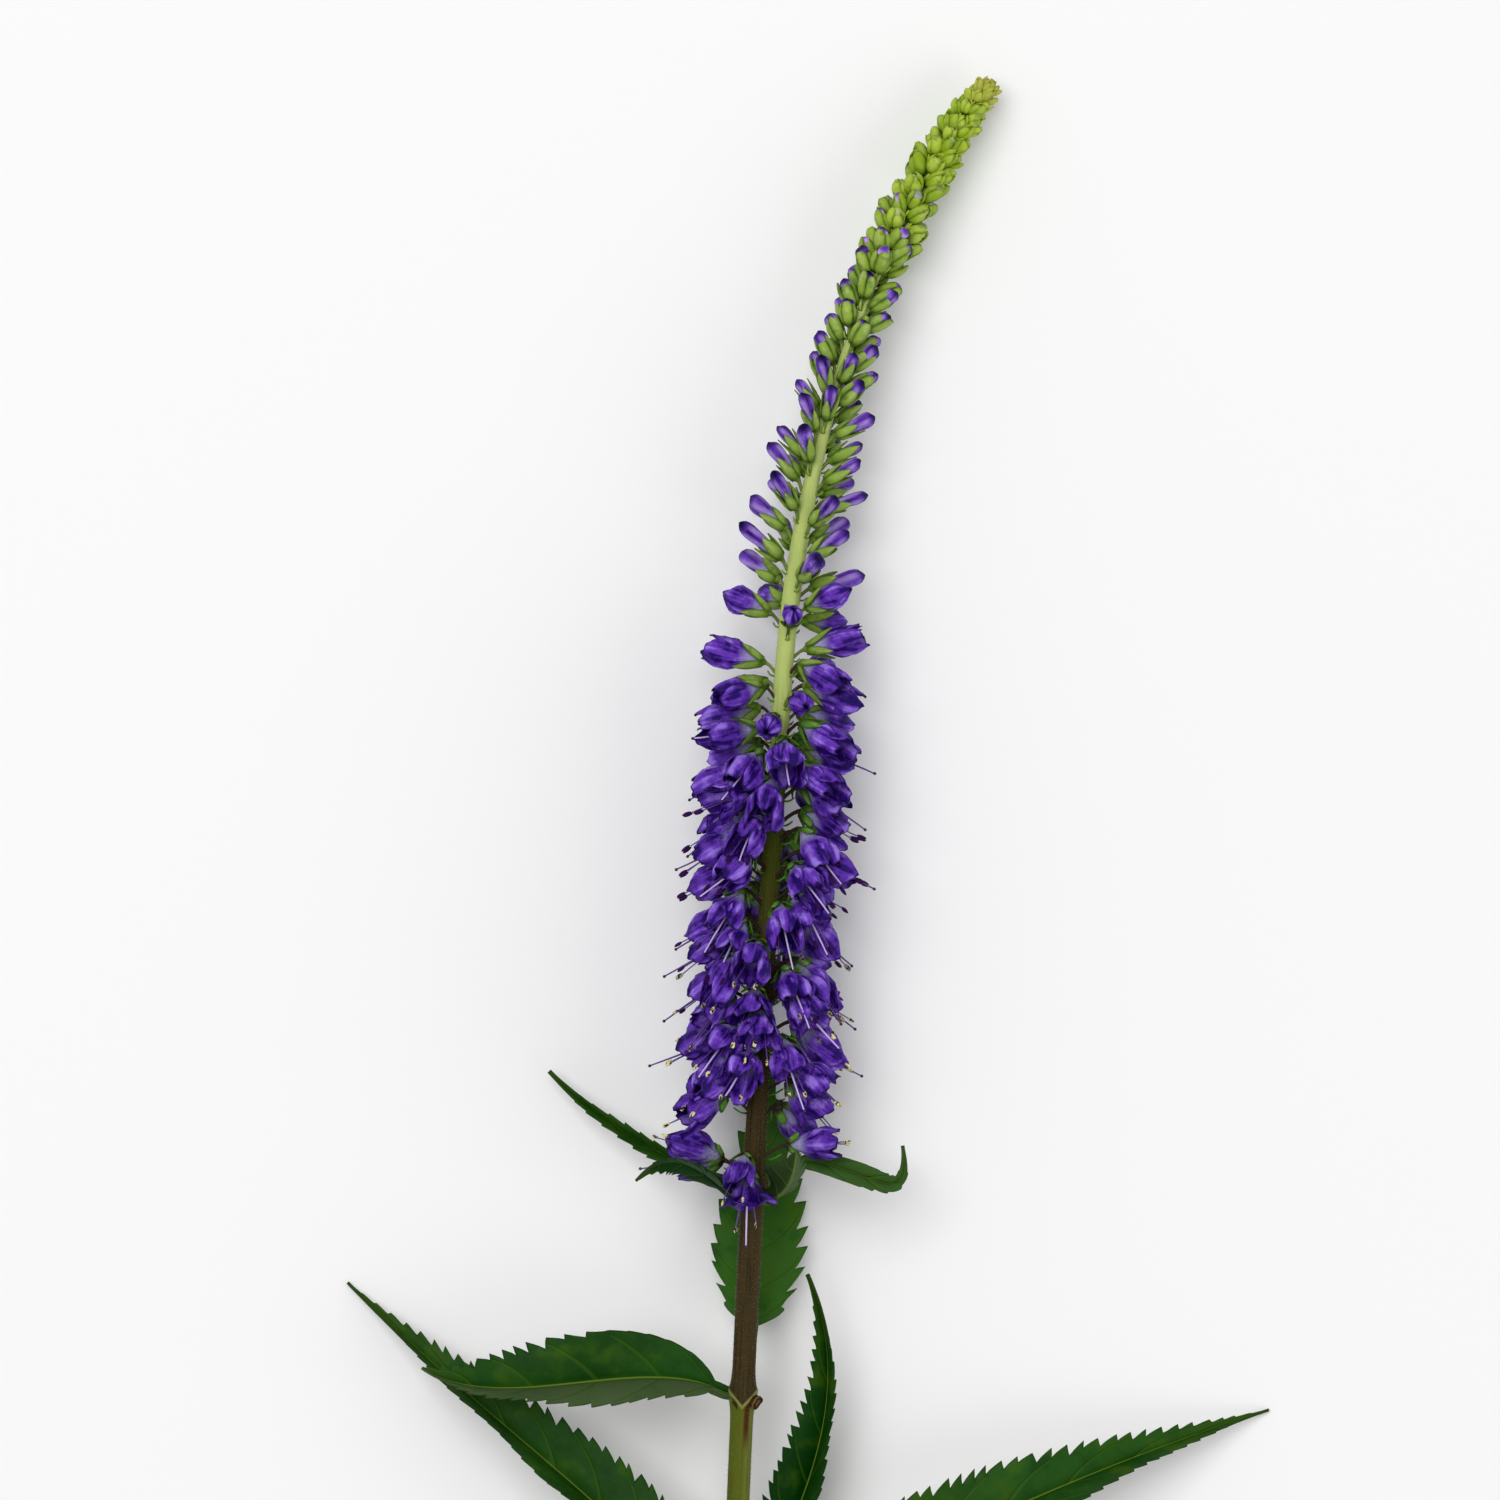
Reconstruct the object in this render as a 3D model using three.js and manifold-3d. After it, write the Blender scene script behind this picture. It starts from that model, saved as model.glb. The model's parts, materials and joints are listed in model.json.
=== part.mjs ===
// One cut stem of spiked speedwell, laid on its side: a bare lower stalk, three whorls of toothed
// leaves and a long spike of violet bells that ends in green buds. Millimetres, +Z up. The stem
// lies along +Y with its cut end lowest in Y, and the surface that it rests on is Z = 0.
import * as THREE from 'three';
import { mergeVertices } from 'three/addons/utils/BufferGeometryUtils.js';
import Module from 'manifold-3d';

const wasm = await Module();
wasm.setup();

// Stem: places along it are arc lengths from the cut end.
const STEM_SIDES = 10;
const CUT_RADIUS = 1.75;
const FLAT_LENGTH = 75; // the stretch that lies level on the surface
const LOWER_NODE = 170;
const MIDDLE_NODE = 204;
const UPPER_NODE = 231;
const BARE_NODES = [18, 58, 98, 135];
const NODE_SWELLING = 0.35;
const NODE_REACH = 1.8;
const STEM_END = 232.6;

// Spike: three stretches, told apart by how far their florets have opened.
const OPEN_START = 232.9;
const BUDS_START = 302.3;
const TIP_START = 351.3;
const SPIKE_END = 380;
const STRETCH_GAP = 0.3;

// Each row is a place on the stem and the value there, with straight lines between.
const RADIUS_KEYS = [[0, CUT_RADIUS], [90, CUT_RADIUS], [190, 1.5], [230, 1.55], [240, 1.35],
  [294, 1.2], [308, 1.2], [319, 1.1], [332, 0.85], [345, 0.65], [380, 0.4]];
const LEAN_KEYS = [[0, 0.6], [190, 2.4], [297, 3.9], [340, 17.9], [380, 37]];
const RISE_KEYS = [[0, 0], [FLAT_LENGTH, 0], [155, 9], [238, 0], [275, -3], [330, -4], [380, -8]];

// Florets: lengths and widths of the bell or bud, and how they stand on the stem.
const GOLDEN_TURN = 137.508;
const TILT_KEYS = [[231, 122], [272, 124], [284, 113], [295, 95], [303, 82], [315, 62], [330, 50],
  [350, 46], [364, 47], [374, 42], [380, 26]];
const PEDICEL_KEYS = [[231, 2.6], [245, 2.9], [276, 2.7], [288, 2], [300, 1.4], [315, 1.1],
  [330, 0.8], [345, 0.55], [380, 0.35]];
const PEDICEL_TILT = 72;
const PEDICEL_RADIUS = 0.38;
const BELL_LENGTH_KEYS = [[231, 7.4], [276, 7.4], [290, 7.9], [302, 7.4]];
const BELL_MOUTH_KEYS = [[231, 2.5], [288, 2.41], [296, 2.2], [302, 1.9]];
const CALYX_RADIUS = 1.2;
const WAIST_RADIUS = 1.8; // of a bell, halfway from its calyx to its mouth
const STYLE_REACH = 3.2;
const STYLE_LAST = 290; // above this the styles are still inside the bells
const BUD_LENGTH_KEYS = [[302, 7.3], [315, 6.9], [330, 5.7], [340, 4.9], [350, 4], [358, 3.8],
  [370, 3.4], [380, 2.4]];
const BUD_RADIUS_KEYS = [[302, 1.4], [310, 1.25], [318, 1.08], [330, 1], [345, 0.95], [352, 1.12],
  [380, 0.9]];
const OPEN_GAP = 0.64;
const BUD_GAP_KEYS = [[302, 0.87], [328, 0.76], [351, 0.56]];
const TIP_GAP = 0.46;
const TURN_SPREAD = 24;
const BELL_TILT_SPREAD = 28;
const BUD_TILT_SPREAD = 16;
const UPPER_SIDE_HANG = 18; // how much steeper the bells on the upper side hang, in degrees
const PLACE_SPREAD = 1.1;
const MOUTH_HEIGHT = 2.9; // the least height of a bell's mouth above the surface
const MOUTH_HEIGHT_OVER_LEAF = 6;
const LEAF_BELOW_ENDS = 256;
const STYLE_HEIGHT = 0.4;

const LEAF_THICKNESS = 0.6;
const PETIOLE_HALF_WIDTH = 0.8;
const TIP_HALF_WIDTH = 0.2;
const TOOTH_DEPTH = 0.16;
const TOOTH_CREST = 0.8; // how far along its stretch of margin a tooth's point sits

const UP = new THREE.Vector3(0, 0, 1);

const STEM_FINISH = new THREE.MeshStandardMaterial({ color: 0x5c4b33, roughness: 0.7, metalness: 0 });
const LEAF_FINISH = new THREE.MeshStandardMaterial({ color: 0x24491c, roughness: 0.55, metalness: 0 });
const BELL_FINISH = new THREE.MeshStandardMaterial({ color: 0x4a22a8, roughness: 0.6, metalness: 0 });
const BUD_FINISH = new THREE.MeshStandardMaterial({ color: 0x6a55a8, roughness: 0.6, metalness: 0 });
const TIP_FINISH = new THREE.MeshStandardMaterial({ color: 0x9db13a, roughness: 0.6, metalness: 0 });

const radians = THREE.MathUtils.degToRad;

function valueAt(keys, place) {
  if (place <= keys[0][0]) return keys[0][1];
  for (let i = 1; i < keys.length; i += 1) {
    const [start, from] = keys[i - 1];
    const [end, to] = keys[i];
    if (place <= end) return from + (to - from) * (place - start) / (end - start);
  }
  return keys[keys.length - 1][1];
}

// A repeatable draw from 0 to 1.
function draw(series, index) {
  const value = Math.sin(series * 12.9898 + index * 78.233) * 43758.5453;
  return value - Math.floor(value);
}

// The stem's line

function headingAt(place) {
  const lean = radians(valueAt(LEAN_KEYS, place));
  const rise = radians(valueAt(RISE_KEYS, place));
  return new THREE.Vector3(
    Math.sin(lean) * Math.cos(rise),
    Math.cos(lean) * Math.cos(rise),
    Math.sin(rise),
  );
}

const linePoints = [new THREE.Vector3(0, 0, CUT_RADIUS * Math.cos(Math.PI / STEM_SIDES))];
for (let place = 0; place < SPIKE_END; place += 1) {
  linePoints.push(linePoints[place].clone().add(headingAt(place + 0.5)));
}

function stemAt(place) {
  const index = Math.min(Math.floor(place), SPIKE_END - 1);
  const point = linePoints[index].clone().lerp(linePoints[index + 1], place - index);
  const forward = headingAt(place);
  const right = forward.clone().cross(UP).normalize();
  const up = right.clone().cross(forward);
  return { point, forward, right, up };
}

function outward(frame, turn) {
  return frame.up.clone().multiplyScalar(Math.cos(turn))
    .addScaledVector(frame.right, Math.sin(turn));
}

function stemRadius(place) {
  const nodes = [...BARE_NODES, LOWER_NODE, MIDDLE_NODE, UPPER_NODE];
  const swelling = nodes.reduce((sum, node) =>
    sum + NODE_SWELLING * Math.exp(-(((place - node) / NODE_REACH) ** 2)), 0);
  return valueAt(RADIUS_KEYS, place) + swelling;
}

// Closed solids from rings of points

// Joins rings of any counts, a ring of one point closing an end, and caps an open end by its middle.
function lofted(rings) {
  const points = [];
  const faces = [];
  const starts = rings.map((ring) => {
    points.push(...ring);
    return points.length - ring.length;
  });
  for (let r = 0; r + 1 < rings.length; r += 1) {
    const [near, far] = [rings[r].length, rings[r + 1].length];
    let i = near === 1 ? 1 : 0;
    let j = far === 1 ? 1 : 0;
    while (i < near || j < far) {
      const a = starts[r] + (i % near);
      const b = starts[r + 1] + (j % far);
      if (j >= far || (i < near && (i + 0.5) / near < (j + 0.5) / far)) {
        faces.push([a, starts[r] + ((i + 1) % near), b]);
        i += 1;
      } else {
        faces.push([a, starts[r + 1] + ((j + 1) % far), b]);
        j += 1;
      }
    }
  }
  capped(rings[0], starts[0], false, points, faces);
  capped(rings[rings.length - 1], starts[starts.length - 1], true, points, faces);
  return solidOf(points, faces);
}

function capped(ring, start, isLast, points, faces) {
  if (ring.length === 1) return;
  for (let i = 1; i + 1 < ring.length; i += 1) {
    const fan = [start, start + i, start + i + 1];
    faces.push(isLast ? fan : fan.reverse());
  }
}

function solidOf(points, faces) {
  const geometry = new THREE.BufferGeometry();
  geometry.setAttribute('position', new THREE.Float32BufferAttribute(
    points.flatMap((point) => [point.x, point.y, point.z]), 3));
  geometry.setIndex(faces.flat());
  const merged = mergeVertices(geometry, 1e-4);
  const solid = new wasm.Manifold(new wasm.Mesh({
    numProp: 3,
    vertProperties: Float32Array.from(merged.attributes.position.array),
    triVerts: Uint32Array.from(merged.index.array),
  }));
  if (solid.status() !== 'NoError') throw new Error(`open or crossed solid: ${solid.status()}`);
  if (solid.volume() < 0) return solidOf(points, faces.map((face) => [...face].reverse()));
  return solid;
}

// A ring of points round a centre, in the plane of two directions.
function ringAt(centre, across, over, radii, firstTurn = 0) {
  return radii.map((radius, i) => {
    const turn = firstTurn + (2 * Math.PI * i) / radii.length;
    return centre.clone()
      .addScaledVector(across, radius * Math.cos(turn))
      .addScaledVector(over, radius * Math.sin(turn));
  });
}

const SIMPLIFY_WITHIN = 0.02;
const SMALLEST_BODY = 5;

// Fuses solids to one body: sealed hollows are filled and loose scraps dropped.
function fused(solids) {
  const bodies = wasm.Manifold.union(solids).simplify(SIMPLIFY_WITHIN).decompose();
  const outer = bodies.filter((body) => body.volume() > SMALLEST_BODY);
  return outer.sort((a, b) => b.volume() - a.volume())[0];
}

function meshOf(name, solid, finish) {
  const { vertProperties, triVerts } = solid.getMesh();
  const geometry = new THREE.BufferGeometry();
  geometry.setAttribute('position', new THREE.BufferAttribute(vertProperties, 3));
  geometry.setIndex(new THREE.BufferAttribute(triVerts, 1));
  geometry.computeVertexNormals();
  const mesh = new THREE.Mesh(geometry, finish);
  mesh.name = name;
  return mesh;
}

// The stalk and the rachis of the spike

function stalk(start, end, step, sides) {
  const places = new Set([start, end]);
  for (let place = Math.ceil(start / step) * step; place < end; place += step) places.add(place);
  for (const node of [...BARE_NODES, LOWER_NODE, MIDDLE_NODE, UPPER_NODE]) {
    for (const offset of [-3, -1.3, 0, 1.3, 3]) {
      if (node + offset > start && node + offset < end) places.add(node + offset);
    }
  }
  const rings = [...places].sort((a, b) => a - b).map((place) => {
    const { point, right, up } = stemAt(place);
    const radii = Array(sides).fill(stemRadius(place));
    const ring = ringAt(point, right, up, radii, -Math.PI / 2 + Math.PI / sides);
    ring.forEach((vertex) => { vertex.z = Math.max(vertex.z, 0); });
    return ring;
  });
  return lofted(rings);
}

// Leaves. Places are offsets from the leaf's node to the right and along the stem, and heights above
// the surface. Tilts lift the left and right halves of the blade about the midrib, in degrees.
const LEAVES = [
  { name: 'leaf_lower_left', node: LOWER_NODE, base: [-2.9, 1.8, 10.8], rise: [-8.5, 15, 15.5],
    reach: [-31, 28.5, 9], tip: [-50.4, 47.6, 0.6], halfWidth: 7, fullest: 0.32, teeth: 20,
    petiole: 0.06, leftTilt: [78, 78], rightTilt: [4, 4], roll: 0 },
  { name: 'leaf_lower_back', node: LOWER_NODE, base: [1.5, 2.1, 8], rise: [9.5, 12, 6.5],
    reach: [15, 28, 5.5], tip: [9.8, 49, 9], halfWidth: 5.4, fullest: 0.36, teeth: 16,
    petiole: 0.08, leftTilt: [6, 40], rightTilt: [70, 76], roll: 0 },
  { name: 'leaf_lower_right', node: LOWER_NODE, base: [2.6, 0.2, 10.9], rise: [20, 12.8, 16],
    reach: [45, 23.3, 10], tip: [70.5, 30.9, 0.6], halfWidth: 7.5, fullest: 0.3, teeth: 20,
    petiole: 0.05, leftTilt: [4, 4], rightTilt: [66, 66], roll: 0 },
  { name: 'leaf_middle_left', node: MIDDLE_NODE, base: [-2.5, 0.4, 13.6], rise: [-13, 6, 17],
    reach: [-32, -3.5, 14], tip: [-41.6, 3.5, 14], halfWidth: 6.6, fullest: 0.42, teeth: 14,
    petiole: 0.03, leftTilt: [35, 85], rightTilt: [5, 5], roll: 0 },
  { name: 'leaf_middle_back', node: MIDDLE_NODE, base: [0.3, 1.5, 10.8], rise: [1.5, 9, 6],
    reach: [3.2, 24, 0.5], tip: [3, 46, 0.8], halfWidth: 6.4, fullest: 0.32, teeth: 12,
    petiole: 0.25, leftTilt: [6, 6], rightTilt: [6, 6], roll: 0 },
  { name: 'leaf_upper_left', node: UPPER_NODE, base: [-1.9, -0.2, 12.5], rise: [-8, 1.8, 6],
    reach: [-19, 6.5, 3.5], tip: [-26.7, 14.6, 3], halfWidth: 2.3, fullest: 0.4, teeth: 9,
    petiole: 0.06, leftTilt: [60, 60], rightTilt: [60, 60], roll: 0 },
  { name: 'leaf_upper_left_front', node: UPPER_NODE, base: [-2.7, -1.3, 15.2], rise: [-6.4, 2.2, 19.5],
    reach: [-10.5, 6.2, 22.5], tip: [-15, 0.9, 20.5], halfWidth: 2.9, fullest: 0.42, teeth: 8,
    petiole: 0.08, leftTilt: [15, 15], rightTilt: [15, 15], roll: -60 },
  { name: 'leaf_upper_right', node: UPPER_NODE, base: [2.5, 0.2, 13.3], rise: [8, 9.5, 12],
    reach: [21.5, -7.5, 11.5], tip: [18.8, 5.4, 11.5], halfWidth: 2.1, fullest: 0.55, teeth: 8,
    petiole: 0.08, leftTilt: [40, 40], rightTilt: [45, 45], roll: 0 },
  { name: 'leaf_upper_front', node: UPPER_NODE, base: [1.8, -1, 16], rise: [4, -1, 20],
    reach: [5.2, 1.6, 26], tip: [5.4, 5.2, 29], halfWidth: 3.6, fullest: 0.42, teeth: 8,
    petiole: 0.08, leftTilt: [72, 72], rightTilt: [10, 10], roll: 180 },
];

const OUTLINE_FULLNESS = 1.85;

// Half the blade's width without its teeth, from 0 to 1 along the blade.
function outlineAt(leaf, along) {
  const rising = (along / leaf.fullest) ** (OUTLINE_FULLNESS * leaf.fullest);
  const falling = ((1 - along) / (1 - leaf.fullest)) ** (OUTLINE_FULLNESS * (1 - leaf.fullest));
  return leaf.halfWidth * rising * falling;
}

// Places along the midrib and the half width at each: the petiole, then a notch and a point a tooth.
function marginOf(leaf) {
  const margin = [[0, PETIOLE_HALF_WIDTH], [leaf.petiole, PETIOLE_HALF_WIDTH]];
  const bladeAt = (along) => leaf.petiole + along * (1 - leaf.petiole);
  for (let tooth = 0; tooth < leaf.teeth; tooth += 1) {
    const crest = (tooth + TOOTH_CREST) / leaf.teeth;
    const notch = (tooth + 1) / leaf.teeth;
    margin.push([bladeAt(crest), Math.max(outlineAt(leaf, crest), PETIOLE_HALF_WIDTH * (1 - crest))]);
    if (notch < 1) {
      const width = outlineAt(leaf, notch) * (1 - TOOTH_DEPTH);
      margin.push([bladeAt(notch), Math.max(width, PETIOLE_HALF_WIDTH * (1 - notch))]);
    }
  }
  margin.push([1, TIP_HALF_WIDTH]);
  return margin;
}

function midribOf(leaf) {
  const node = stemAt(leaf.node).point;
  const places = [leaf.base, leaf.rise, leaf.reach, leaf.tip]
    .map(([x, y, height]) => new THREE.Vector3(node.x + x, node.y + y, height));
  return new THREE.CubicBezierCurve3(...places);
}

// Across the blade to the right, and the way that its top faces.
function bladeFrame(leaf, along) {
  const right = along.clone().cross(UP).normalize().applyAxisAngle(along, radians(leaf.roll));
  return { right, top: right.clone().cross(along) };
}

function leafSolid(leaf) {
  const midrib = midribOf(leaf);
  const points = [];
  const faces = [];
  const margin = marginOf(leaf);
  for (const [place, halfWidth] of margin) {
    const centre = midrib.getPoint(place);
    const along = midrib.getTangent(place);
    const { right, top } = bladeFrame(leaf, along);
    const half = (side, tilt) => right.clone().multiplyScalar(side * Math.cos(tilt))
      .addScaledVector(top, Math.sin(tilt));
    const tiltAt = ([first, last]) => radians(first + (last - first) * place);
    const left = half(-1, tiltAt(leaf.leftTilt));
    const rightHalf = half(1, tiltAt(leaf.rightTilt));
    const leftNormal = along.clone().cross(left).normalize();
    const rightNormal = rightHalf.clone().cross(along).normalize();
    const middleDrop = leftNormal.clone().add(rightNormal)
      .multiplyScalar(LEAF_THICKNESS / (1 + leftNormal.dot(rightNormal)));
    const upper = [centre.clone().addScaledVector(left, halfWidth), centre,
      centre.clone().addScaledVector(rightHalf, halfWidth)];
    const lower = [upper[0].clone().addScaledVector(leftNormal, -LEAF_THICKNESS),
      centre.clone().sub(middleDrop),
      upper[2].clone().addScaledVector(rightNormal, -LEAF_THICKNESS)];
    for (const point of [...upper, ...lower]) {
      point.z = Math.max(point.z, lower.includes(point) ? 0 : LEAF_THICKNESS);
      points.push(point);
    }
  }
  const quad = (a, b, c, d) => faces.push([a, b, c], [a, c, d]);
  const [topLeft, topMiddle, topRight, underLeft, underMiddle, underRight] = [0, 1, 2, 3, 4, 5];
  for (let i = 0; i + 1 < margin.length; i += 1) {
    const near = 6 * i;
    const far = near + 6;
    quad(near + topLeft, near + topMiddle, far + topMiddle, far + topLeft);
    quad(near + topMiddle, near + topRight, far + topRight, far + topMiddle);
    faces.push([near + underLeft, far + underMiddle, near + underMiddle]);
    faces.push([near + underLeft, far + underLeft, far + underMiddle]);
    faces.push([near + underMiddle, far + underRight, near + underRight]);
    faces.push([near + underMiddle, far + underMiddle, far + underRight]);
    quad(near + underLeft, near + topLeft, far + topLeft, far + underLeft);
    quad(near + topRight, near + underRight, far + underRight, far + topRight);
  }
  const last = 6 * (margin.length - 1);
  quad(underLeft, underMiddle, topMiddle, topLeft);
  quad(underMiddle, underRight, topRight, topMiddle);
  quad(last + topLeft, last + topMiddle, last + underMiddle, last + underLeft);
  quad(last + topMiddle, last + topRight, last + underRight, last + underMiddle);
  return solidOf(points, faces);
}

// Stubs on the stem that the petioles grow from, and the scar of a leaf that has broken off.
const STUB_GAP = 0.35;
const STUB_ROOT_RADIUS = 1.05;
const STUB_END_RADIUS = 0.75;
const SCAR = { node: MIDDLE_NODE, end: [1.9, -1.1, 14.4], radius: 0.85 };

function stub(node, end, along, endRadius) {
  const { point, forward } = stemAt(node);
  const tip = end.clone().addScaledVector(along, -STUB_GAP);
  const ring = (centre, way, radius) => {
    const across = way.clone().cross(forward).normalize();
    return ringAt(centre, across, across.clone().cross(way), Array(5).fill(radius));
  };
  const start = tip.clone().sub(point).normalize();
  return lofted([ring(point, start, STUB_ROOT_RADIUS), ring(tip, along, endRadius)]);
}

function leafStub(leaf) {
  const midrib = midribOf(leaf);
  const along = midrib.getTangent(0);
  const end = midrib.getPoint(0).addScaledVector(bladeFrame(leaf, along).top, -LEAF_THICKNESS / 2);
  return stub(leaf.node, end, along, STUB_END_RADIUS);
}

function scarStub() {
  const { point } = stemAt(SCAR.node);
  const end = new THREE.Vector3(point.x + SCAR.end[0], point.y + SCAR.end[1], SCAR.end[2]);
  return stub(SCAR.node, end, end.clone().sub(point).normalize(), SCAR.radius);
}

function stemSolid() {
  return fused([stalk(0, STEM_END, 12, STEM_SIDES), ...LEAVES.map(leafStub), scarStub()]);
}

// Florets

// Where a floret stands: its calyx at the end of the pedicel, and the way that the bell or bud points.
function stand(place, turn, tilt) {
  const frame = stemAt(place);
  const out = outward(frame, turn);
  const pedicel = valueAt(PEDICEL_KEYS, place);
  const rise = radians(Math.min(PEDICEL_TILT, tilt));
  const calyx = frame.point.clone()
    .addScaledVector(out, stemRadius(place) + pedicel * Math.sin(rise))
    .addScaledVector(frame.forward, pedicel * Math.cos(rise));
  const way = frame.forward.clone().multiplyScalar(Math.cos(radians(tilt)))
    .addScaledVector(out, Math.sin(radians(tilt)));
  const across = frame.forward.clone().cross(out);
  const over = across.clone().cross(way);
  return { root: frame.point, calyx, way, across, over };
}

const LOBE_FORWARD = 0.12;
const NOTCH_BACK = 0.16;

function bell(place, turn, tilt, size) {
  const { root, calyx, way, across, over } = stand(place, turn, tilt);
  const length = valueAt(BELL_LENGTH_KEYS, place) * size;
  const mouth = valueAt(BELL_MOUTH_KEYS, place) * size;
  const at = (along) => calyx.clone().addScaledVector(way, along * length);
  const lobes = Array.from({ length: 8 }, (_, i) => {
    const isLobe = i % 2 === 0;
    const centre = at(isLobe ? 1 + LOBE_FORWARD / 2 : 1 - NOTCH_BACK);
    return ringAt(centre, across, over, Array(8).fill(isLobe ? mouth : mouth * 0.72))[i];
  });
  const rings = [[root], ringAt(calyx, across, over, Array(3).fill(PEDICEL_RADIUS)),
    ringAt(at(0.2), across, over, Array(4).fill(CALYX_RADIUS * size)),
    ringAt(at(0.58), across, over, Array(4).fill(WAIST_RADIUS * size)), lobes];
  const styleTip = at(1).addScaledVector(way, STYLE_REACH);
  if (place < STYLE_LAST && styleTip.z > STYLE_HEIGHT) {
    rings.push(ringAt(at(0.7), across, over, Array(3).fill(0.45)), [styleTip]);
  } else {
    rings.push([at(0.7)]);
  }
  return lofted(rings);
}

function bud(place, turn, tilt) {
  const { root, calyx, way, across, over } = stand(place, turn, tilt);
  const length = valueAt(BUD_LENGTH_KEYS, place);
  const radius = valueAt(BUD_RADIUS_KEYS, place);
  const at = (along) => calyx.clone().addScaledVector(way, along * length);
  return lofted([[root], ringAt(at(0.05), across, over, Array(3).fill(radius * 0.6)),
    ringAt(at(0.42), across, over, Array(4).fill(radius)),
    ringAt(at(0.84), across, over, Array(4).fill(radius * 0.75)), [at(1)]]);
}

// Every floret of a stretch, on a golden spiral with a little scatter.
function floretStands(series, start, end, gapKeys, tiltSpread, upperSideHang = 0) {
  const stands = [];
  let place = start;
  for (let index = 0; place < end; index += 1) {
    const scatter = (kind, spread) => (draw(series + kind, index) - 0.5) * spread;
    const turn = radians(index * GOLDEN_TURN + scatter(2, TURN_SPREAD));
    stands.push({
      place: Math.min(Math.max(place + scatter(1, PLACE_SPREAD), start), end),
      turn,
      index,
      tilt: valueAt(TILT_KEYS, place) + scatter(3, tiltSpread)
        + upperSideHang * Math.max(0, Math.cos(turn)),
    });
    place += valueAt(gapKeys, place);
  }
  return stands;
}

// The few florets in the axils of the upper leaves: place, turn from the top and tilt, in degrees,
// and size as a share of the others'.
const AXIL_FLORETS = [[235.8, 88, 84, 0.95], [233.6, -82, 72, 1], [233.4, -97, 98, 1],
  [234.6, -16, 141, 0.8], [233.4, -10, 168, 0.82]];
const RULE_STARTS = 240;
const UPPER_SIDE_STARTS = 246;
const THIN_STARTS = 262;
const YOUNG_STARTS = 284;
const YOUNG_SIZE = 0.62;

// Bells that would hang to the surface, or to the leaf that lies under them, are left out.
function hangsClear(place, turn, tilt) {
  const { calyx, way } = stand(place, turn, tilt);
  const mouth = calyx.addScaledVector(way, valueAt(BELL_LENGTH_KEYS, place));
  return mouth.z > (place < LEAF_BELOW_ENDS ? MOUTH_HEIGHT_OVER_LEAF : MOUTH_HEIGHT);
}

// The stalk's upper side is bare above the florets in the axils. Higher up it shows through, because
// half of the florets there are missing, and two in three near the buds.
function isBare(place, turn, index) {
  if (place < UPPER_SIDE_STARTS) return Math.cos(turn) > 0.5;
  const kept = place < YOUNG_STARTS ? 2 : 3;
  return place > THIN_STARTS && Math.cos(turn) > 0.78 && index % kept > 0;
}

// The few that stand on the upper side near the buds have hardly opened.
function sizeOf(place, turn) {
  return place > YOUNG_STARTS && Math.cos(turn) > 0.78 ? YOUNG_SIZE : 1;
}

function openStretch() {
  const stands = floretStands(10, RULE_STARTS, BUDS_START - 1.5, [[0, OPEN_GAP]], BELL_TILT_SPREAD,
    UPPER_SIDE_HANG)
    .filter(({ place, turn, tilt, index }) => (
      hangsClear(place, turn, tilt) && !isBare(place, turn, index)));
  return fused([
    stalk(OPEN_START, BUDS_START - STRETCH_GAP, 12, 8),
    ...AXIL_FLORETS.map(([place, turn, tilt, size]) => bell(place, radians(turn), tilt, size)),
    ...stands.map(({ place, turn, tilt }) => bell(place, turn, tilt, sizeOf(place, turn))),
  ]);
}

function budStretch() {
  const stands = floretStands(20, BUDS_START + 1, TIP_START - 1.2, BUD_GAP_KEYS, BUD_TILT_SPREAD);
  return fused([
    stalk(BUDS_START, TIP_START - STRETCH_GAP, 8, 8),
    ...stands.map(({ place, turn, tilt }) => bud(place, turn, tilt)),
  ]);
}

function tipStretch() {
  const stands = floretStands(30, TIP_START + 0.4, SPIKE_END, [[0, TIP_GAP]], BUD_TILT_SPREAD);
  return fused([
    stalk(TIP_START, SPIKE_END, 8, 6),
    ...stands.map(({ place, turn, tilt }) => bud(place, turn, tilt)),
  ]);
}

const veronica = new THREE.Group();
veronica.add(meshOf('stem', stemSolid(), STEM_FINISH));
for (const leaf of LEAVES) veronica.add(meshOf(leaf.name, leafSolid(leaf), LEAF_FINISH));
veronica.add(meshOf('spike_open', openStretch(), BELL_FINISH));
veronica.add(meshOf('spike_buds', budStretch(), BUD_FINISH));
veronica.add(meshOf('spike_tip', tipStretch(), TIP_FINISH));

// The origin is under the middle of the whole stem, on the surface.
const box = new THREE.Box3().setFromObject(veronica);
const middle = box.getCenter(new THREE.Vector3());
veronica.position.set(-middle.x, -middle.y, -box.min.z);

export default veronica;
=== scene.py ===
# A cut stem of spiked speedwell, laid on its side and seen from straight above: the stalk, three whorls of
# toothed leaves, and the spike, whose violet bells give way to buds and to a tight green tip. Lengths are in
# millimetres in the stem's own frame, where the cut end is the origin, the stem runs along +Y and the
# surface is Z = 0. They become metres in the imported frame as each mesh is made.
import json
import math

import bpy
import numpy as np
from mathutils import Matrix, Vector

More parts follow.
